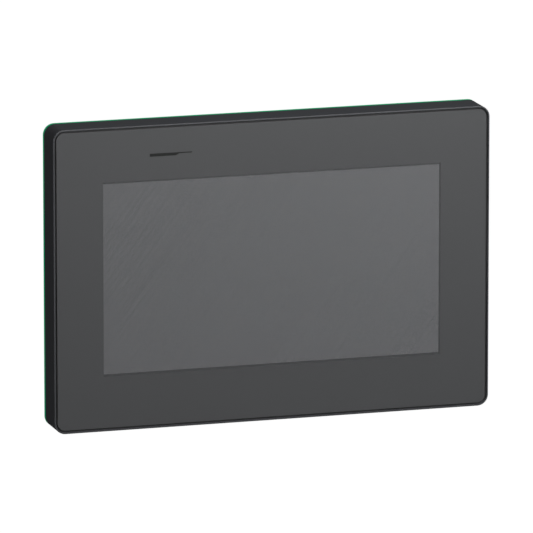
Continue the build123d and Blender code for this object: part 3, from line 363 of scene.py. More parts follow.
def printed_foil(middle, half_width, half_height):
    """The rating plate's foil: brushed, with a printed frame and empty fields, and no lettering."""
    material, tree, shader = blank_material("rating_foil")
    group = place_group(tree, DRAWN, stretch=(40.0, 1.0, 1.0), line_scale=1400.0)
    split = tree.nodes.new("ShaderNodeSeparateXYZ")
    tree.links.new(object_place(tree), split.inputs[0])
    across = math_node(tree, "SUBTRACT", split.outputs["X"], middle[0])
    upright = math_node(tree, "SUBTRACT", split.outputs["Z"], middle[2])
    line = 0.16 * MM
    ink = math_node(
        tree,
        "SUBTRACT",
        inside_rectangle(tree, across, upright, half_width, half_height),
        inside_rectangle(tree, across, upright, half_width - 2 * line, half_height - 2 * line),
    )
    inside = inside_rectangle(tree, across, upright, half_width, half_height)
    for height in (-0.36, 0.3):
        offset = math_node(tree, "SUBTRACT", upright, height * half_height)
        rule = math_node(tree, "MULTIPLY", inside_rectangle(tree, across, offset, half_width, line), inside)
        ink = math_node(tree, "MAXIMUM", ink, rule)
    shift = math_node(tree, "SUBTRACT", across, half_width * 0.4)
    post = math_node(tree, "MULTIPLY", inside_rectangle(tree, shift, upright, line, half_height), inside)
    ink = math_node(tree, "MAXIMUM", ink, post)
    foil_color = tinted(tree, (0.42, 0.43, 0.45), group.outputs["Tone"])
    tree.links.new(color_mix(tree, ink, foil_color, (0.03, 0.03, 0.032)), shader.inputs["Base Color"])
    bare = math_node(tree, "SUBTRACT", 1.0, ink)
    tree.links.new(math_node(tree, "MULTIPLY", bare, 0.4), shader.inputs["Metallic"])
    tree.links.new(math_node(tree, "ADD", group.outputs["Gloss"], 0.5), shader.inputs["Roughness"])
    add_bump(tree, shader, group.outputs["Height"], 0.15, 0.01 * MM)
    return material


# ---------------------------------------------------------------- mesh building blocks
def object_from(name, mesh):
    piece = bpy.data.objects.new(name, mesh)
    bpy.context.collection.objects.link(piece)
    return piece


def mesh_from(name, bm, material=None, smooth_angle=None):
    """Closes the bmesh, turns its faces outwards and stores it as a mesh."""
    bmesh.ops.remove_doubles(bm, verts=bm.verts, dist=0.0005 * MM)
    bmesh.ops.recalc_face_normals(bm, faces=bm.faces)
    mesh = bpy.data.meshes.new(name)
    bm.to_mesh(mesh)
    bm.free()
    if material:
        mesh.materials.append(material)
    if smooth_angle is not None:
        mesh.shade_smooth()
        mesh.set_sharp_from_angle(angle=math.radians(smooth_angle))
    return mesh


def applied(piece):
    """The piece with its modifiers turned into a plain mesh."""
    depsgraph = bpy.context.evaluated_depsgraph_get()
    mesh = bpy.data.meshes.new_from_object(piece.evaluated_get(depsgraph))
    old = piece.data
    piece.modifiers.clear()
    piece.data = mesh
    bpy.data.meshes.remove(old)
    return piece


def settle(piece, body, slot_name, *replaced):
    """Puts a finished piece on its body."""
    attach(piece, body)
    if replaced:
        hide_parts(*replaced)
    return piece


def lathe(name, profile, centre, material, segments=48, shape=None, smooth_angle=35, closed=True):
    """Turns a profile of (radius, height along Y) round the line through centre along Y.

    A closed profile makes a ring; an open one starts and ends on the axis.
    shape(radius, height, angle) may change the radius and height, for threads, flats and teeth.
    """
    bm = bmesh.new()
    rings = []
    for radius, height in profile:
        ring = []
        for step in range(segments):
            angle = 2 * math.pi * step / segments
            r, h = shape(radius, height, angle) if shape else (radius, height)
            ring.append(bm.verts.new((centre[0] + r * math.sin(angle), h, centre[2] + r * math.cos(angle))))
            if radius == 0:
                break
        rings.append(ring)
    pairs = list(zip(rings, rings[1:] + rings[:1])) if closed else list(zip(rings, rings[1:]))
    for low, high in pairs:
        for step in range(segments):
            after = (step + 1) % segments
            if len(low) == 1:
                bm.faces.new((low[0], high[after], high[step]))
            elif len(high) == 1:
                bm.faces.new((low[step], low[after], high[0]))
            else:
                bm.faces.new((low[step], low[after], high[after], high[step]))
    return object_from(name, mesh_from(name, bm, material, smooth_angle))


def helix_ridge(height, angle, pitch, phase=0.0):
    """How far up a right-handed 60 degree thread's flank this place is: 0 in the root, 1 on the crest."""
    turn = (height / pitch - angle / (2 * math.pi) + phase) % 1.0
    return min(1.0, max(0.0, (abs(turn - 0.5) * 2 - 0.125) / 0.75))


def span(start, end, count):
    return [start + (end - start) * step / count for step in range(count + 1)]


def softened(node, width, material, body, slot_name, segments=2, angle=38):
    """A copy of a CAD node with its sharp edges rounded off, as a mould or a tumbling barrel leaves them."""
    bm = bmesh.new()
    bm.from_mesh(nodes[node].data)
    bmesh.ops.remove_doubles(bm, verts=bm.verts, dist=0.002 * MM)
    bmesh.ops.dissolve_limit(bm, angle_limit=math.radians(0.5), verts=bm.verts, edges=bm.edges)
    mesh = bpy.data.meshes.new(node + "_softened")
    bm.to_mesh(mesh)
    bm.free()
    mesh.materials.append(material)
    mesh.shade_smooth()
    piece = object_from(node + "_softened", mesh)
    bevel = piece.modifiers.new("softening", "BEVEL")
    bevel.limit_method = "ANGLE"
    bevel.angle_limit = math.radians(angle)
    bevel.width = width * MM
    bevel.segments = segments
    bevel.use_clamp_overlap = True
    flats = piece.modifiers.new("flat_faces", "WEIGHTED_NORMAL")
    flats.keep_sharp = True
    flats.weight = 100
    triangles = piece.modifiers.new("triangles", "TRIANGULATE")
    triangles.keep_custom_normals = True
    applied(piece)
    return settle(piece, body, slot_name, node)


def rounded_bar(name, size, rounding, material, segments=2):
    """A block with rounded edges about the origin: the pattern piece for ribs, contacts and pads."""
    bm = bmesh.new()
    bmesh.ops.create_cube(bm, size=1.0)
    bmesh.ops.scale(bm, vec=size, verts=bm.verts)
    bmesh.ops.bevel(bm, geom=bm.edges[:], offset=rounding, segments=segments, profile=0.5, affect="EDGES")
    return mesh_from(name, bm, material, 40)


def bent_strip(name, path, width, thickness, material):
    """A spring strip of even thickness along a path of (y, z) points, as wide as width along X."""
    bm = bmesh.new()
    sides = []
    for index, (y, z) in enumerate(path):
        before = Vector(path[max(index - 1, 0)])
        after = Vector(path[min(index + 1, len(path) - 1)])
        along = (after - before).normalized()
        across = Vector((-along.y, along.x)) * thickness / 2
        corners = [
            (x, y + sign * across.x, z + sign * across.y)
            for x, sign in ((-width / 2, -1), (width / 2, -1), (width / 2, 1), (-width / 2, 1))
        ]
        sides.append([bm.verts.new(corner) for corner in corners])
    for low, high in zip(sides, sides[1:]):
        for step in range(4):
            after = (step + 1) % 4
            bm.faces.new((low[step], low[after], high[after], high[step]))
    bm.faces.new(sides[0][::-1])
    bm.faces.new(sides[-1])
    return mesh_from(name, bm, material, 30)


def screw_pattern(name, head_radius, head_height, shank_radius, length, recess, material):
    """One pan-head screw about the origin: head towards +Y from Y=0, threaded shank towards -Y.

    recess is "cross" or "slot".
    """
    segments = 24
    bm = bmesh.new()

    def ring(radius, height, shape=None):
        verts = []
        for step in range(segments):
            angle = 2 * math.pi * step / segments
            r = shape(radius, height, angle) if shape else radius
            verts.append(bm.verts.new((r * math.sin(angle), height, r * math.cos(angle))))
        return verts

    def ridge(radius, height, angle):
        return radius - 0.17 * MM * (1 - helix_ridge(height, angle, 0.5 * MM))

    rings = [ring(shank_radius * 0.5, -length), ring(shank_radius * 0.8, -length + 0.4 * MM)]
    for height in span(-length + 0.5 * MM, -0.3 * MM, max(8, round((length - 0.8 * MM) / (0.125 * MM)))):
        rings.append(ring(shank_radius, height, ridge))
    rings.append(ring(shank_radius, 0.0))
    rings.append(ring(head_radius * 0.97, 0.0))
    rings.append(ring(head_radius, 0.12 * head_height))
    for turn in (0.0, 30.0, 60.0):
        angle = math.radians(turn)
        edge = 0.5 * head_height
        crown_radius = head_radius - edge * (1 - math.cos(angle)) * 1.1
        rings.append(ring(crown_radius, head_height - edge * (1 - math.sin(angle))))
    top = ring(head_radius * 0.72, head_height)
    rings.append(top)
    for low, high in zip(rings, rings[1:]):
        for step in range(segments):
            after = (step + 1) % segments
            bm.faces.new((low[step], low[after], high[after], high[step]))
    bm.faces.new(rings[0])

    arm, half = head_radius * 0.56, head_radius * 0.13
    if recess == "cross":
        outline = [(arm, -half), (arm, half), (half, half), (half, arm), (-half, arm), (-half, half)]
        outline += [(-x, -z) for x, z in outline]
    else:
        arm, half = head_radius * 0.69, head_radius * 0.16
        outline = [(arm, -half), (arm, half), (-arm, half), (-arm, -half)]
    mouth = [bm.verts.new((x, head_height, z)) for x, z in outline]
    floor = [bm.verts.new((x * 0.72, head_height * 0.42, z * 0.72)) for x, z in outline]
    circle = [vert.co.copy() for vert in top]
    points = top + mouth
    for face in tessellate_polygon([circle, [vert.co.copy() for vert in mouth]]):
        bm.faces.new([points[index] for index in face])
    for step in range(len(mouth)):
        after = (step + 1) % len(mouth)
        bm.faces.new((mouth[step], mouth[after], floor[after], floor[step]))
    bm.faces.new(floor)
    return mesh_from(name, bm, material, 35)


# ---------------------------------------------------------------- geometry node trees
def geometry_tree(name, inputs):
    """An empty Geometry Nodes tree with a geometry in and out and the named inputs."""
    tree = bpy.data.node_groups.new(name, "GeometryNodeTree")
    tree.interface.new_socket("Geometry", in_out="INPUT", socket_type="NodeSocketGeometry")
    for label, (kind, value) in inputs.items():
        socket = tree.interface.new_socket(label, in_out="INPUT", socket_type="NodeSocket" + kind)
        if value is not None:
            socket.default_value = value
    tree.interface.new_socket("Geometry", in_out="OUTPUT", socket_type="NodeSocketGeometry")
    return tree, tree.nodes.new("NodeGroupInput"), tree.nodes.new("NodeGroupOutput")


def finish_tree(tree, start, end, instances):
    """Makes the instances real, gives them their material and puts them out."""
    real = tree.nodes.new("GeometryNodeRealizeInstances")
    paint = tree.nodes.new("GeometryNodeSetMaterial")
    tree.links.new(instances, real.inputs["Geometry"])
    tree.links.new(real.outputs["Geometry"], paint.inputs["Geometry"])
    tree.links.new(start.outputs["Material"], paint.inputs["Material"])
    tree.links.new(paint.outputs["Geometry"], end.inputs[0])


def grid_tree():
    """Copies a pattern piece onto a grid of places in the XY plane, turned to face as asked."""
    tree, start, end = geometry_tree(
        "grid_of_copies",
        {
            "Count X": ("Int", 2),
            "Count Y": ("Int", 2),
            "Width": ("Float", 0.01),
            "Height": ("Float", 0.01),
            "Plane Turn": ("Rotation", None),
            "Piece Turn": ("Rotation", None),
            "Middle": ("Vector", (0.0, 0.0, 0.0)),
            "Material": ("Material", None),
        },
    )
    grid = tree.nodes.new("GeometryNodeMeshGrid")
    sizes = (("Width", "Size X"), ("Height", "Size Y"), ("Count X", "Vertices X"), ("Count Y", "Vertices Y"))
    for label, place in sizes:
        tree.links.new(start.outputs[label], grid.inputs[place])
    move = tree.nodes.new("GeometryNodeTransform")
    tree.links.new(grid.outputs["Mesh"], move.inputs["Geometry"])
    tree.links.new(start.outputs["Plane Turn"], move.inputs["Rotation"])
    tree.links.new(start.outputs["Middle"], move.inputs["Translation"])
    copies = tree.nodes.new("GeometryNodeInstanceOnPoints")
    tree.links.new(move.outputs["Geometry"], copies.inputs["Points"])
    tree.links.new(start.outputs["Geometry"], copies.inputs["Instance"])
    tree.links.new(start.outputs["Piece Turn"], copies.inputs["Rotation"])
    finish_tree(tree, start, end, copies.outputs["Instances"])
    return tree


def ring_tree():
    """Copies a pattern piece round a circle about the Y axis, each copy turned with it."""
    tree, start, end = geometry_tree(
        "ring_of_copies",
        {
            "Count": ("Int", 3),
            "Radius": ("Float", 0.01),
            "First Angle": ("Float", 0.0),
            "Depth": ("Float", 0.0),
            "Material": ("Material", None),
        },
    )
    line = tree.nodes.new("GeometryNodeMeshLine")
    tree.links.new(start.outputs["Count"], line.inputs["Count"])
    index = tree.nodes.new("GeometryNodeInputIndex")
    step = math_node(tree, "DIVIDE", 2 * math.pi, start.outputs["Count"])
    turned = math_node(tree, "MULTIPLY", index.outputs[0], step)
    angle = math_node(tree, "ADD", turned, start.outputs["First Angle"])
    place = tree.nodes.new("ShaderNodeCombineXYZ")
    tree.links.new(start.outputs["Depth"], place.inputs["Y"])
    for axis, wave in (("X", "SINE"), ("Z", "COSINE")):
        reach = math_node(tree, "MULTIPLY", math_node(tree, wave, angle), start.outputs["Radius"])
        tree.links.new(reach, place.inputs[axis])
    points = tree.nodes.new("GeometryNodeSetPosition")
    tree.links.new(line.outputs["Mesh"], points.inputs["Geometry"])
    tree.links.new(place.outputs[0], points.inputs["Position"])
    turn = tree.nodes.new("ShaderNodeCombineXYZ")
    tree.links.new(angle, turn.inputs["Y"])
    copies = tree.nodes.new("GeometryNodeInstanceOnPoints")
    tree.links.new(points.outputs["Geometry"], copies.inputs["Points"])
    tree.links.new(start.outputs["Geometry"], copies.inputs["Instance"])
    tree.links.new(turn.outputs[0], copies.inputs["Rotation"])
    finish_tree(tree, start, end, copies.outputs["Instances"])
    return tree


GRID = grid_tree()
RING = ring_tree()


def grow(name, pattern, tree, material, **values):
    """Runs a pattern mesh through a tree and keeps the plain mesh that comes out."""
    piece = object_from(name, pattern)
    modifier = piece.modifiers.new(tree.name, "NODES")
    modifier.node_group = tree
    values["material"] = material
    sockets = {item.name: item.identifier for item in tree.interface.items_tree if item.in_out == "INPUT"}
    for label, value in values.items():
        modifier[sockets[label.replace("_", " ").title()]] = value
    return applied(piece)


FACE_REAR = (math.radians(90), 0.0, 0.0)  # lays a grid's Y along Z
NO_TURN = (0.0, 0.0, 0.0)


def on_grid(name, pattern, material, middle, counts, size, plane_turn=FACE_REAR, piece_turn=NO_TURN):
    """Copies of a pattern on a grid that is size wide and high between its outermost places."""
    return grow(
        name,
        pattern,
        GRID,
        material,
        count_x=counts[0],
        count_y=counts[1],
        width=size[0],
        height=size[1],
        plane_turn=plane_turn,
        piece_turn=piece_turn,
        middle=middle,
    )


# ---------------------------------------------------------------- finishes
graphite = moulded_plastic(
    "graphite_bezel", (0.0735, 0.0765, 0.084), 0.46, grain=0.3, specular=0.4, marks=0.04
)
# painted shade: the bezel's groove floor is painted dark
paint_shade(graphite, groove_shade_mask)
film = moulded_plastic(
    "satin_front_film", (0.074, 0.0757, 0.079), 0.48, grain=0.22, bump=0.1, drift=0.02, marks=0.03
)
# painted shade: the sheet's cut edge in the groove is painted dark
paint_shade(film, sheet_edge_shade_mask)
window_film = clear_cover("window_film", (0.165, 0.168, 0.176), 0.38, 0.35)
touch_glass = clear_cover("touch_glass", (0.13, 0.132, 0.137), 0.2, 0.06)
screen = unlit_screen()
green = moulded_plastic("green_trim", (0.01, 0.46, 0.19), 0.4, grain=0.3, bump=0.2, marks=0.08, specular=0.3)
# painted glow: the green moulding is given a faint emission, a painted light that lifts it though it is no
# lamp
green.node_tree.nodes["Principled BSDF"].inputs["Emission Color"].default_value = (0.0, 1.0, 0.42, 1.0)
green.node_tree.nodes["Principled BSDF"].inputs["Emission Strength"].default_value = 0.125
housing = moulded_plastic("grey_housing", (0.078, 0.081, 0.0865), 0.55, grain=0.5, bump=0.5, marks=0.12)
rubber = moulded_plastic("black_rubber", (0.018, 0.018, 0.019), 0.7, grain=0.4)
foam = moulded_plastic("closed_cell_foam", (0.02, 0.02, 0.021), 0.9, grain=0.6, bump=0.8)
black_part = moulded_plastic("black_connector", (0.012, 0.012, 0.013), 0.45, grain=0.3, marks=0.08)
epoxy = moulded_plastic("chip_epoxy", (0.016, 0.016, 0.017), 0.5, grain=0.12, bump=0.2)
laminate = circuit_laminate()
plug_green = moulded_plastic("plug_green", (0.02, 0.22, 0.085), 0.45, grain=0.3, marks=0.08)
lens_smoke = moulded_plastic("smoked_lens", (0.028, 0.03, 0.029), 0.22, grain=0.3, bump=0.02)
clear_part = moulded_plastic("clear_acrylic", (0.7, 0.74, 0.75), 0.15, grain=0.3, bump=0.02)
lamp_green = moulded_plastic("link_lamp_green", (0.12, 0.5, 0.14), 0.2, grain=0.4, bump=0.05)
lamp_amber = moulded_plastic("link_lamp_amber", (0.72, 0.42, 0.06), 0.2, grain=0.4, bump=0.05)
amber_flex = moulded_plastic("amber_flex", (0.55, 0.25, 0.05), 0.35, grain=0.3)
zinc = plated_metal("zinc_plate", (0.56, 0.57, 0.6), 0.3)
steel_sheet = plated_metal(
    "pressed_steel", (0.5, 0.51, 0.53), 0.34, stretch=(30.0, 1.0, 1.0), line_scale=1100.0
)
nickel = plated_metal("nickel_plate", (0.66, 0.64, 0.6), 0.24)
alloy = plated_metal("die_cast_alloy", (0.5, 0.51, 0.53), 0.38, stretch=(1.0, 14.0, 1.0), line_scale=700.0)
anodised = plated_metal("sink_aluminium", (0.62, 0.63, 0.65), 0.36, stretch=(1.0, 1.0, 30.0))
gold = plated_metal("gold_flash", (0.85, 0.6, 0.22), 0.25)
cell_plate = plated_metal("cell_plate", (0.42, 0.42, 0.43), 0.45)


def dress(material, *names):
    """Gives CAD nodes their finish."""
    for name in names:
        piece = nodes[name]
        if not piece.material_slots:
            piece.data.materials.append(material)
        for place in piece.material_slots:
            place.material = material


def middle_of(node):
    low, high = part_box(node)
    return [(low[axis] + high[axis]) / 2 for axis in range(3)]


def size_of(node):
    low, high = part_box(node)
    return [high[axis] - low[axis] for axis in range(3)]


# ---------------------------------------------------------------- display unit
def display_front():
    dress(graphite, "front_bezel")
    dress(film, "front_sheet")
    dress(window_film, "screen_window")
    dress(touch_glass, "touch_sensor")
    dress(screen, "lcd_glass")
    dress(green, "trim_ring")
    dress(lens_smoke, "status_light_pipe")


def display_inside():
    softened("lcd_bracket", 0.2, steel_sheet, "display_unit", "steel_sheet")
    softened("backlight_tray", 0.15, steel_sheet, "display_unit", "steel_sheet")
    softened("dock_socket", 0.25, black_part, "display_unit", "connector_plastic")
    softened("tail_sockets", 0.25, black_part, "display_unit", "connector_plastic")
    softened("buzzer", 0.3, black_part, "display_unit", "chip_plastic")
    softened("display_board_chips", 0.15, epoxy, "display_unit", "chip_plastic")
    dress(laminate, "display_board")
    dress(clear_part, "light_guide", "status_led")
    dress(amber_flex, "touch_tail", "lcd_tail")
    dress(foam, "foam_strips")
    dress(gold, "board_standoffs")


def screws_on_grid(node, counts, head_radius, head_height, body, recess="cross", shank_radius=1.2 * MM):
    """Replaces a node of pan-head screws that point to the front."""
    low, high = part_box(node)
    shank = high[1] - low[1] - head_height
    pattern = screw_pattern(node + "_pattern", head_radius, head_height, shank_radius, shank, recess, zinc)
    middle = middle_of(node)
    size = (high[0] - low[0] - 2 * head_radius, high[2] - low[2] - 2 * head_radius)
    place = (middle[0], high[1] - head_height, middle[2])
    piece = on_grid(node + "_threaded", pattern, zinc, place, counts, size)
    settle(piece, body, "zinc_screws", node)


def stem_fixing_screws():
    """Three small countersunk screws hold the stem's flange to the rear cover; they point to the rear."""
    low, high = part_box("stem_screws")
    head_radius, head_height, shank_radius = 1.5 * MM, 0.5 * MM, 0.75 * MM
    length = high[1] - low[1] - head_height
    pattern = screw_pattern(
        "stem_screw_pattern", head_radius, head_height, shank_radius, length, "cross", zinc
    )
    pattern.transform(Matrix.Rotation(math.pi, 4, "Z"))
    piece = grow(
        "stem_screws_threaded",
        pattern,
        RING,
        zinc,
        count=3,
        radius=STEM_SCREW_CIRCLE,
        first_angle=math.pi,
        depth=low[1] + head_height,
    )
    settle(piece, "display_unit", "zinc_screws", "stem_screws")


def rear_cover_and_gasket():
    softened("rear_cover", 0.25, housing, "display_unit", "grey_plastic")
    low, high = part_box("door_gasket")
    band = 3.0 * MM
    corner = 5.0 * MM
    base, seat = low[1], low[1] + 1.45 * MM
    crest = high[1]
    half_lip, lip_height = 0.62 * MM, 0.85 * MM
    # across the band from its outer edge: a foot in the groove and two sealing lips
    section = [(0.0, base), (0.0, seat)]
    for lip in (0.27, 0.73):
        for turn in span(150.0, 30.0, 6):
            angle = math.radians(turn)
            height = crest - lip_height * (1 - math.sin(angle))
            section.append((band * lip - half_lip * math.cos(angle), height))
    section += [(band, seat), (band, base)]
    bm = bmesh.new()
    loops = []
    half_x, half_z = high[0], high[2]
    for quarter in range(4):
        for turn in span(90.0 * quarter, 90.0 * quarter + 90.0, 8):
            angle = math.radians(turn)
            sign_x = 1 if quarter in (0, 3) else -1
            sign_z = 1 if quarter in (0, 1) else -1
            loop = []
            for inset, height in section:
                reach = corner - inset
                x = sign_x * (half_x - corner) + reach * math.cos(angle)
                z = sign_z * (half_z - corner) + reach * math.sin(angle)
                loop.append(bm.verts.new((x, height, z)))
            loops.append(loop)
    for one, two in zip(loops, loops[1:] + loops[:1]):
        for step in range(len(section)):
            after = (step + 1) % len(section)
            bm.faces.new((one[step], one[after], two[after], two[step]))
    piece = object_from("door_gasket_lips", mesh_from("door_gasket_lips", bm, rubber, 40))
    settle(piece, "display_unit", "gasket_rubber", "door_gasket")


def threaded_stem():
    """Flange, relief groove and M22 thread from the door's face to the end, round the cable bore."""
    low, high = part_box("mounting_stem")
    flange = low[1] + 2.0 * MM  # rear face of the flange
    cover = -0.8 * MM  # rear face of the rear cover, in which the stem sits
    radius, bore, root = 11.0 * MM, 8.0 * MM, 0.65 * MM
    shank_end, thread_start, thread_end = 0.3 * MM, 0.9 * MM, high[1]
    rim, neck, relief, edge = high[0], 10.9 * MM, 10.3 * MM, 0.3 * MM
    profile = [(bore, low[1]), (rim - edge, low[1]), (rim, low[1] + edge)]
    profile += [(rim, flange - edge), (rim - edge, flange), (neck, flange)]
    profile += [(neck, cover), (radius, cover), (radius, shank_end - 0.2 * MM)]
    profile += [(radius - 0.2 * MM, shank_end), (relief, shank_end), (relief, thread_start)]
    chamfer = 0.8 * MM
    for height in span(thread_start, thread_end, 114)[1:]:
        profile.append((radius, height))
    profile += [(bore + 0.5 * MM, thread_end), (bore, thread_end - 0.5 * MM)]

    def thread(r, height, angle):
        if r != radius or height < thread_start:
            return r, height
        crest = radius - max(0.0, chamfer - (thread_end - height))
        run_in = min(1.0, (height - thread_start) / (0.4 * MM))
        ridge = radius - root * (1 - helix_ridge(height, angle, THREAD_PITCH) * run_in)
        return min(crest, ridge), height

    piece = lathe("threaded_stem", profile, (0, 0, 0), alloy, 96, thread, 30)
    settle(piece, "display_unit", "stem_alloy", "mounting_stem")
    softened("anti_rotation_peg", 0.2, housing, "display_unit", "grey_plastic")


# ---------------------------------------------------------------- nut and washer
def serrated_washer():
    """A spring washer with fine radial teeth on both faces."""
    low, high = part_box("lock_washer")
    outer, inner = high[0], 11.4 * MM
    tooth = 0.14 * MM
    faces = span(inner + 0.6 * MM, outer - 0.3 * MM, 3)
    profile = [(inner, low[1] + tooth), (inner, high[1] - tooth)]
    profile += [(radius, high[1]) for radius in faces]
    profile += [(outer, high[1] - 2 * tooth), (outer, low[1] + 2 * tooth)]
    profile += [(radius, low[1]) for radius in reversed(faces)]

    def teeth(radius, height, angle):
        if height not in (low[1], high[1]):
            return radius, height
        rise = abs((angle / (2 * math.pi) * 36) % 1.0 - 0.5) * 2
        return radius, height + (tooth if height == low[1] else -tooth) * rise

    piece = lathe("serrated_washer", profile, (0, 0, 0), zinc, 144, teeth, 25)
    settle(piece, "clamp_washer", "zinc_screws", "lock_washer")


def hexagon(across_flats, angle, flat_on_z):
    """Distance from the axis to a hexagon's side in that direction."""
    turn = math.degrees(angle) + (0.0 if flat_on_z else 30.0)
    off = (turn + 30.0) % 60.0 - 30.0
    return across_flats / 2 / math.cos(math.radians(off))


def hexagon_nut():
    """A 28 mm hexagon, turned down to a cone at both faces, with the thread that matches the stem's."""
    low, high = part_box("panel_nut")
    across = 28.0 * MM
    flat_on_z = size_of("panel_nut")[0] > size_of("panel_nut")[2]
    bore, depth = 11.08 * MM, 0.6 * MM
    rows = span(0.0, 1.4 * MM, 14)
    sides = [low[1] + row for row in rows] + [high[1] - row for row in reversed(rows)]
    inside = span(high[1], low[1], 40)
    face_radius = across / 2 - 0.35 * MM
    profile = [(face_radius + 1.0, height) for height in sides] + [(bore, height) for height in inside]

    def shape(radius, height, angle):
        edge = min(height - low[1], high[1] - height)
        if radius > bore:
            cone = face_radius + edge * math.tan(math.radians(60.0))
            return min(hexagon(across, angle, flat_on_z), cone), height
        lead_in = max(0.0, 1.0 - edge / (0.5 * MM))
        ridge = bore - depth * helix_ridge(height, angle, THREAD_PITCH, 0.5)
        return ridge + (bore - ridge) * lead_in, height

    piece = lathe("hexagon_nut", profile, (0, 0, 0), nickel, 192, shape, 28)
    settle(piece, "clamp_nut", "nut_steel", "panel_nut")


# ---------------------------------------------------------------- control module
def module_housing():
    softened("module_front_shell", 0.3, housing, "control_module", "grey_plastic")
    softened("module_rear_shell", 0.3, housing, "control_module", "grey_plastic")
    screws_on_grid("module_screws", (2, 2), 2.5 * MM, 1.6 * MM, "control_module")
    low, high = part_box("rating_plate")
    margin = 1.0 * MM
    half_width, half_height = (high[0] - low[0]) / 2 - margin, (high[2] - low[2]) / 2 - margin
    dress(printed_foil(middle_of("rating_plate"), half_width, half_height), "rating_plate")


def cooling_parts():
    softened("heat_sink", 0.2, anodised, "control_module", "sink_aluminium")
    softened("main_board_chips", 0.15, epoxy, "control_module", "chip_plastic")
    softened("dock_plug", 0.25, black_part, "control_module", "connector_plastic")
    dress(laminate, "main_board")


def board_passives():
    """Rows of small chip parts on both boards, between the larger ones."""
    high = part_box("main_board")[1]
    pattern = rounded_bar("chip_resistor", (1.6 * MM, 0.5 * MM, 0.8 * MM), 0.08 * MM, epoxy)
    place = (26 * MM, high[1] + 0.25 * MM, 1.5 * MM)
    row = on_grid("main_board_passives", pattern, epoxy, place, (9, 3), (26 * MM, 5.0 * MM))
    settle(row, "control_module", "chip_plastic")
    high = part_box("display_board")[1]
    pattern = rounded_bar("chip_capacitor", (1.6 * MM, 0.6 * MM, 0.8 * MM), 0.08 * MM, epoxy)
    place = (-40 * MM, high[1] + 0.3 * MM, 33 * MM)
    row = on_grid("display_board_passives", pattern, epoxy, place, (8, 3), (24 * MM, 6.0 * MM))
    settle(row, "display_unit", "chip_plastic")


def ethernet_jacks():
    """Shielded jacks: eight gold springs, two lamp windows and the shield's contact tongues in each."""
    for number in (1, 2):
        node = f"ethernet_jack_{number}"
        softened(node, 0.15, nickel, "control_module", "jack_metal")
        low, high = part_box(node)
        centre = (low[0] + high[0]) / 2
        mouth_rear = (low[1] + high[1]) / 2 + 4.2 * MM
        path = [
            (mouth_rear - 0.1 * MM, low[2] + 2.6 * MM),
            (mouth_rear - 0.5 * MM, low[2] + 3.4 * MM),
            (mouth_rear - 2.6 * MM, low[2] + 10.0 * MM),
            (mouth_rear - 2.7 * MM, low[2] + 15.2 * MM),
        ]
        spring = bent_strip("contact_spring", path, 0.42 * MM, 0.28 * MM, gold)
        place = (centre, 0, 0)
        springs = on_grid(f"ethernet_contacts_{number}", spring, gold, place, (8, 1), (7.14 * MM, 0.0))
        settle(springs, "control_module", "brass_parts")
        window = rounded_bar("lamp_window", (2.9 * MM, 1.9 * MM, 1.6 * MM), 0.25 * MM, lamp_green)
        for side, paint, tone in ((-1, lamp_green, "green"), (1, lamp_amber, "amber")):
            lamp = on_grid(
                f"jack_lamp_{tone}_{number}",
                window.copy(),
                paint,
                (centre + side * 5.6 * MM, low[1] + 1.9 * MM, low[2] + 0.55 * MM),
                (1, 1),
                (0.0, 0.0),
            )
            settle(lamp, "control_module", "led_plastic")
        tongue = [
            (low[1] - 0.02 * MM, low[2] + 0.5 * MM),
            (low[1] - 0.1 * MM, low[2] + 1.4 * MM),
            (low[1] - 0.02 * MM, low[2] + 2.6 * MM),
        ]
        leaf = bent_strip("shield_tongue", tongue, 2.0 * MM, 0.14 * MM, nickel)
        leaves = on_grid(f"shield_tongues_{number}", leaf, nickel, place, (2, 1), (7.6 * MM, 0.0))
        settle(leaves, "control_module", "jack_metal")


def usb_ports():
    softened("usb_host_port", 0.12, nickel, "control_module", "jack_metal")
    softened("usb_device_port", 0.08, nickel, "control_module", "jack_metal")
    low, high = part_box("usb_host_port")
    centre = (low[0] + high[0]) / 2
    tongue_rear = (low[1] + high[1]) / 2 - 0.15 * MM
    strip = rounded_bar("usb_contact", (1.1 * MM, 0.12 * MM, 7.0 * MM), 0.04 * MM, gold)
    place = (centre, tongue_rear + 0.05 * MM, low[2] + 5.4 * MM)
    row = on_grid("usb_host_contacts", strip, gold, place, (4, 1), (7.0 * MM, 0.0))
    settle(row, "control_module", "brass_parts")
    low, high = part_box("usb_device_port")
    centre = (low[0] + high[0]) / 2
    tongue_rear = (low[1] + high[1]) / 2 + 0.05 * MM
    strip = rounded_bar("usb_small_contact", (0.4 * MM, 0.08 * MM, 3.0 * MM), 0.03 * MM, gold)
    place = (centre, tongue_rear + 0.03 * MM, low[2] + 2.4 * MM)
    row = on_grid("usb_device_contacts", strip, gold, place, (5, 1), (3.2 * MM, 0.0))
    settle(row, "control_module", "brass_parts")


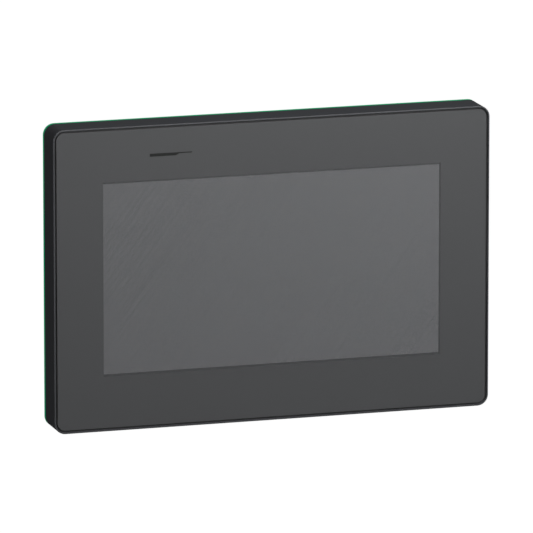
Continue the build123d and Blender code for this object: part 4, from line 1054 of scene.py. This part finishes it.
def serial_connector():
    """A nine-pin connector: D-shaped collar, round-nosed pins and two hexagon posts."""
    softened("serial_port", 0.2, nickel, "control_module", "jack_metal")
    low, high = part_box("serial_pins")
    radius = 0.5 * MM
    length = high[0] - low[0]
    profile = [(0.0, 0.0), (radius, 0.0)]
    for turn in span(0.0, 80.0, 4):
        angle = math.radians(turn)
        profile.append((radius * math.cos(angle), length - radius * (1 - math.sin(angle))))
    profile.append((0.0, length))
    pins = []
    for count, y in ((4, low[1] + radius), (5, high[1] - radius)):
        pattern = lathe(f"pin_row_{count}", profile, (0, 0, 0), gold, 12, None, 50, closed=False)
        mesh = pattern.data
        bpy.data.objects.remove(pattern)
        mesh.transform(Matrix.Rotation(-math.pi / 2, 4, "Z"))
        place = (low[0], y, (low[2] + high[2]) / 2)
        pitch = (high[2] - low[2] - 2 * radius) / 4
        size = (0.0, pitch * (count - 1))
        pins.append(on_grid(f"serial_pins_row_of_{count}", mesh, gold, place, (1, count), size))
    for row in pins:
        settle(row, "control_module", "brass_parts")
    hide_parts("serial_pins")

    low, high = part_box("serial_jack_screws")
    across = 5.0 * MM
    height = high[0] - low[0]
    bore = 1.2 * MM
    rows = [0.0, 0.2 * MM, 0.45 * MM]
    sides = [0.0] + [height - row for row in reversed(rows)]
    profile = [(1.0, level) for level in sides] + [(bore, level) for level in span(height, 0.6 * MM, 20)]
    profile += [(0.0, 0.6 * MM), (0.0, 0.0)]
    flat_on_z = high[1] - low[1] > across * 1.02

    def shape(radius, level, angle):
        if radius == 0:
            return 0.0, level
        if radius > bore:
            cone = across / 2 + (height - level) * 1.4
            return min(hexagon(across, angle, flat_on_z), cone), level
        return bore - 0.16 * MM * helix_ridge(level, angle, 0.6 * MM), level

    profile = [(0.0, 0.0)] + profile[:-1]
    pattern = lathe("hexagon_post", profile, (0, 0, 0), nickel, 36, shape, 30, closed=False)
    mesh = pattern.data
    bpy.data.objects.remove(pattern)
    mesh.transform(Matrix.Rotation(-math.pi / 2, 4, "Z"))
    place = (low[0], (low[1] + high[1]) / 2, (low[2] + high[2]) / 2)
    posts = on_grid("serial_posts", mesh, nickel, place, (1, 2), (0.0, 25.0 * MM))
    settle(posts, "control_module", "nut_steel", "serial_jack_screws")


def supply_connector():
    """The power header and its pull-out plug: ribs, wire clamps and slotted clamp screws."""
    softened("power_header", 0.15, black_part, "control_module", "connector_plastic")
    softened("power_header_pins", 0.12, gold, "control_module", "brass_parts")
    softened("power_plug", 0.3, plug_green, "supply_plug", "plug_plastic")
    low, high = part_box("power_plug")
    centre = (low[0] + high[0]) / 2
    pitch = 5.08 * MM
    entry_y = (low[1] + high[1]) / 2 - 2.0 * MM
    jaw = rounded_bar("clamp_jaw", (3.0 * MM, 0.5 * MM, 4.6 * MM), 0.12 * MM, zinc)
    for side, name in ((-1, "front"), (1, "rear")):
        place = (centre, entry_y + side * 1.6 * MM, low[2] + 3.2 * MM)
        jaws = on_grid(f"wire_clamps_{name}", jaw.copy(), zinc, place, (3, 1), (2 * pitch, 0.0))
        settle(jaws, "supply_plug", "zinc_screws")
    rib = rounded_bar("grip_rib", (0.34 * MM, 5.6 * MM, 0.7 * MM), 0.14 * MM, plug_green)
    for side, name in ((-1, "left"), (1, "right")):
        place = (centre + side * (high[0] - low[0]) / 2, (low[1] + high[1]) / 2, low[2] + 3.6 * MM)
        ribs = on_grid(f"plug_grip_ribs_{name}", rib.copy(), plug_green, place, (1, 4), (0.0, 4.2 * MM))
        settle(ribs, "supply_plug", "plug_plastic")
    low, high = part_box("power_plug_screws")
    radius = (high[2] - low[2]) / 2
    pattern = screw_pattern("clamp_screw", radius, 1.0 * MM, 1.2 * MM, 2.0 * MM, "slot", zinc)
    place = (centre, high[1] - 1.0 * MM, (low[2] + high[2]) / 2)
    screws = on_grid("clamp_screws_slotted", pattern, zinc, place, (3, 1), (2 * pitch, 0.0))
    settle(screws, "supply_plug", "zinc_screws", "power_plug_screws")


def battery_bay():
    softened("battery_door", 0.2, housing, "battery_cover", "grey_plastic")
    softened("battery_holder", 0.25, black_part, "control_module", "connector_plastic")
    low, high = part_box("coin_cell")
    centre = middle_of("coin_cell")
    radius = (high[0] - low[0]) / 2
    front, rear = low[1], high[1]
    # a crimped can: the wide positive cup with its rolled edge, and the smaller negative cap in front
    step, roll = 0.3 * MM, 0.5 * MM
    profile = [(0.0, front), (radius * 0.8, front), (radius * 0.84, front + 0.25 * MM)]
    profile += [(radius * 0.88, front + step), (radius * 0.95, front + step)]
    profile += [(radius, front + 0.75 * MM), (radius, rear - roll)]
    for turn in (30.0, 60.0, 90.0):
        angle = math.radians(turn)
        profile.append((radius - roll * (1 - math.cos(angle)), rear - roll * (1 - math.sin(angle))))
    profile += [(radius * 0.86, rear), (radius * 0.84, rear - 0.08 * MM), (0.0, rear - 0.08 * MM)]
    cell = lathe("crimped_cell", profile, centre, cell_plate, 64, None, 25, closed=False)
    settle(cell, "control_module", "cell_steel", "coin_cell")
    softened("hinge_pin", 0.1, nickel, "control_module", "nut_steel")


def release_latch():
    # painted glow: the latch shares the green trim's faint emission
    softened("module_latch", 0.25, green, "release_latch", "green_trim")
    softened("latch_blade", 0.15, steel_sheet, "release_latch", "steel_sheet")


# ---------------------------------------------------------------- floor, light and camera
def pale_floor():
    material, _, shader = blank_material("pale_floor")
    shader.inputs["Base Color"].default_value = (0.9, 0.9, 0.9, 1.0)
    shader.inputs["Roughness"].default_value = 0.9
    shader.inputs["Emission Color"].default_value = (1.0, 1.0, 1.0, 1.0)
    shader.inputs["Emission Strength"].default_value = 1.0
    mesh = bpy.data.meshes.new("floor")
    half = 30.0
    corners = [(-half, -half, 0), (half, -half, 0), (half, half, 0), (-half, half, 0)]
    mesh.from_pydata(corners, [], [(0, 1, 2, 3)])
    mesh.materials.append(material)
    floor = object_from("floor", mesh)
    floor.location.z = cad_box[0][2] - FLOOR_DROP
    floor.visible_diffuse = False
    floor.visible_glossy = False


def soft_box(name, place, size, power):
    """A rectangular lamp that points at the origin."""
    light = bpy.data.lights.new(name, "AREA")
    light.shape = "RECTANGLE"
    light.size, light.size_y = size
    light.energy = power
    lamp = bpy.data.objects.new(name, light)
    bpy.context.collection.objects.link(lamp)
    lamp.location = place
    lamp.rotation_euler = Vector(place).to_track_quat("Z", "Y").to_euler()


def studio():
    world = bpy.data.worlds.new("studio")
    bpy.context.scene.world = world
    world.use_nodes = True
    tree = world.node_tree
    tree.nodes.clear()
    output = tree.nodes.new("ShaderNodeOutputWorld")
    fill = tree.nodes.new("ShaderNodeBackground")
    fill.inputs["Strength"].default_value = 0.02
    backdrop = tree.nodes.new("ShaderNodeBackground")
    backdrop.inputs["Strength"].default_value = 1.1
    for node in (fill, backdrop):
        node.inputs["Color"].default_value = (1, 1, 1, 1)
    path = tree.nodes.new("ShaderNodeLightPath")
    mix = tree.nodes.new("ShaderNodeMixShader")
    tree.links.new(path.outputs["Is Camera Ray"], mix.inputs[0])
    tree.links.new(fill.outputs[0], mix.inputs[1])
    tree.links.new(backdrop.outputs[0], mix.inputs[2])
    tree.links.new(mix.outputs[0], output.inputs[0])
    soft_box("key", (0.1, -0.9, 0.4), (0.6, 0.6), 4.8)
    soft_box("near_top", (0.15, -0.35, 0.3), (0.3, 0.3), 0.94)
    soft_box("right", (0.45, -0.6, 0.25), (0.4, 0.4), 0.66)
    soft_box("left_side", (-1.6, -0.3, 0.2), (0.8, 0.8), 4.1)
    soft_box("overhead", (0.0, 0.35, 0.8), (0.5, 0.5), 0.44)
    # these two stay below the top wall and to the right of the left wall, so they only light the rear
    soft_box("rear_key", (0.8, 1.3, -0.6), (1.5, 1.0), 13.0)
    soft_box("rear_right", (1.4, 0.5, -0.5), (0.6, 0.6), 6.0)
    soft_box("below", (0.5, 0.6, -1.0), (1.2, 1.2), 5.0)


def set_camera():
    azimuth, elevation = math.radians(-16.87), math.radians(12.13)
    distance = 3.6195
    flat = math.cos(elevation)
    back = Vector((math.sin(azimuth) * flat, -math.cos(azimuth) * flat, math.sin(elevation)))
    aim = Vector((-2.906 * MM, FRONT_Y, 1.483 * MM))
    data = bpy.data.cameras.new("camera")
    data.lens = 556.54
    data.sensor_width = 36.0
    data.clip_end = 200.0
    camera = bpy.data.objects.new("camera", data)
    bpy.context.collection.objects.link(camera)
    camera.location = aim + back * distance
    camera.rotation_euler = back.to_track_quat("Z", "Y").to_euler()
    bpy.context.scene.camera = camera


display_front()
display_inside()
screws_on_grid("bracket_screws", (2, 3), 2.3 * MM, 1.3 * MM, "display_unit")
screws_on_grid("board_screws", (2, 2), 2.3 * MM, 1.3 * MM, "display_unit")
screws_on_grid("cover_screws", (3, 2), 2.4 * MM, 1.2 * MM, "display_unit")
stem_fixing_screws()
rear_cover_and_gasket()
threaded_stem()
serrated_washer()
hexagon_nut()
module_housing()
cooling_parts()
board_passives()
ethernet_jacks()
usb_ports()
serial_connector()
supply_connector()
battery_bay()
release_latch()
pale_floor()
studio()
set_camera()
bpy.context.scene.view_settings.view_transform = "Standard"
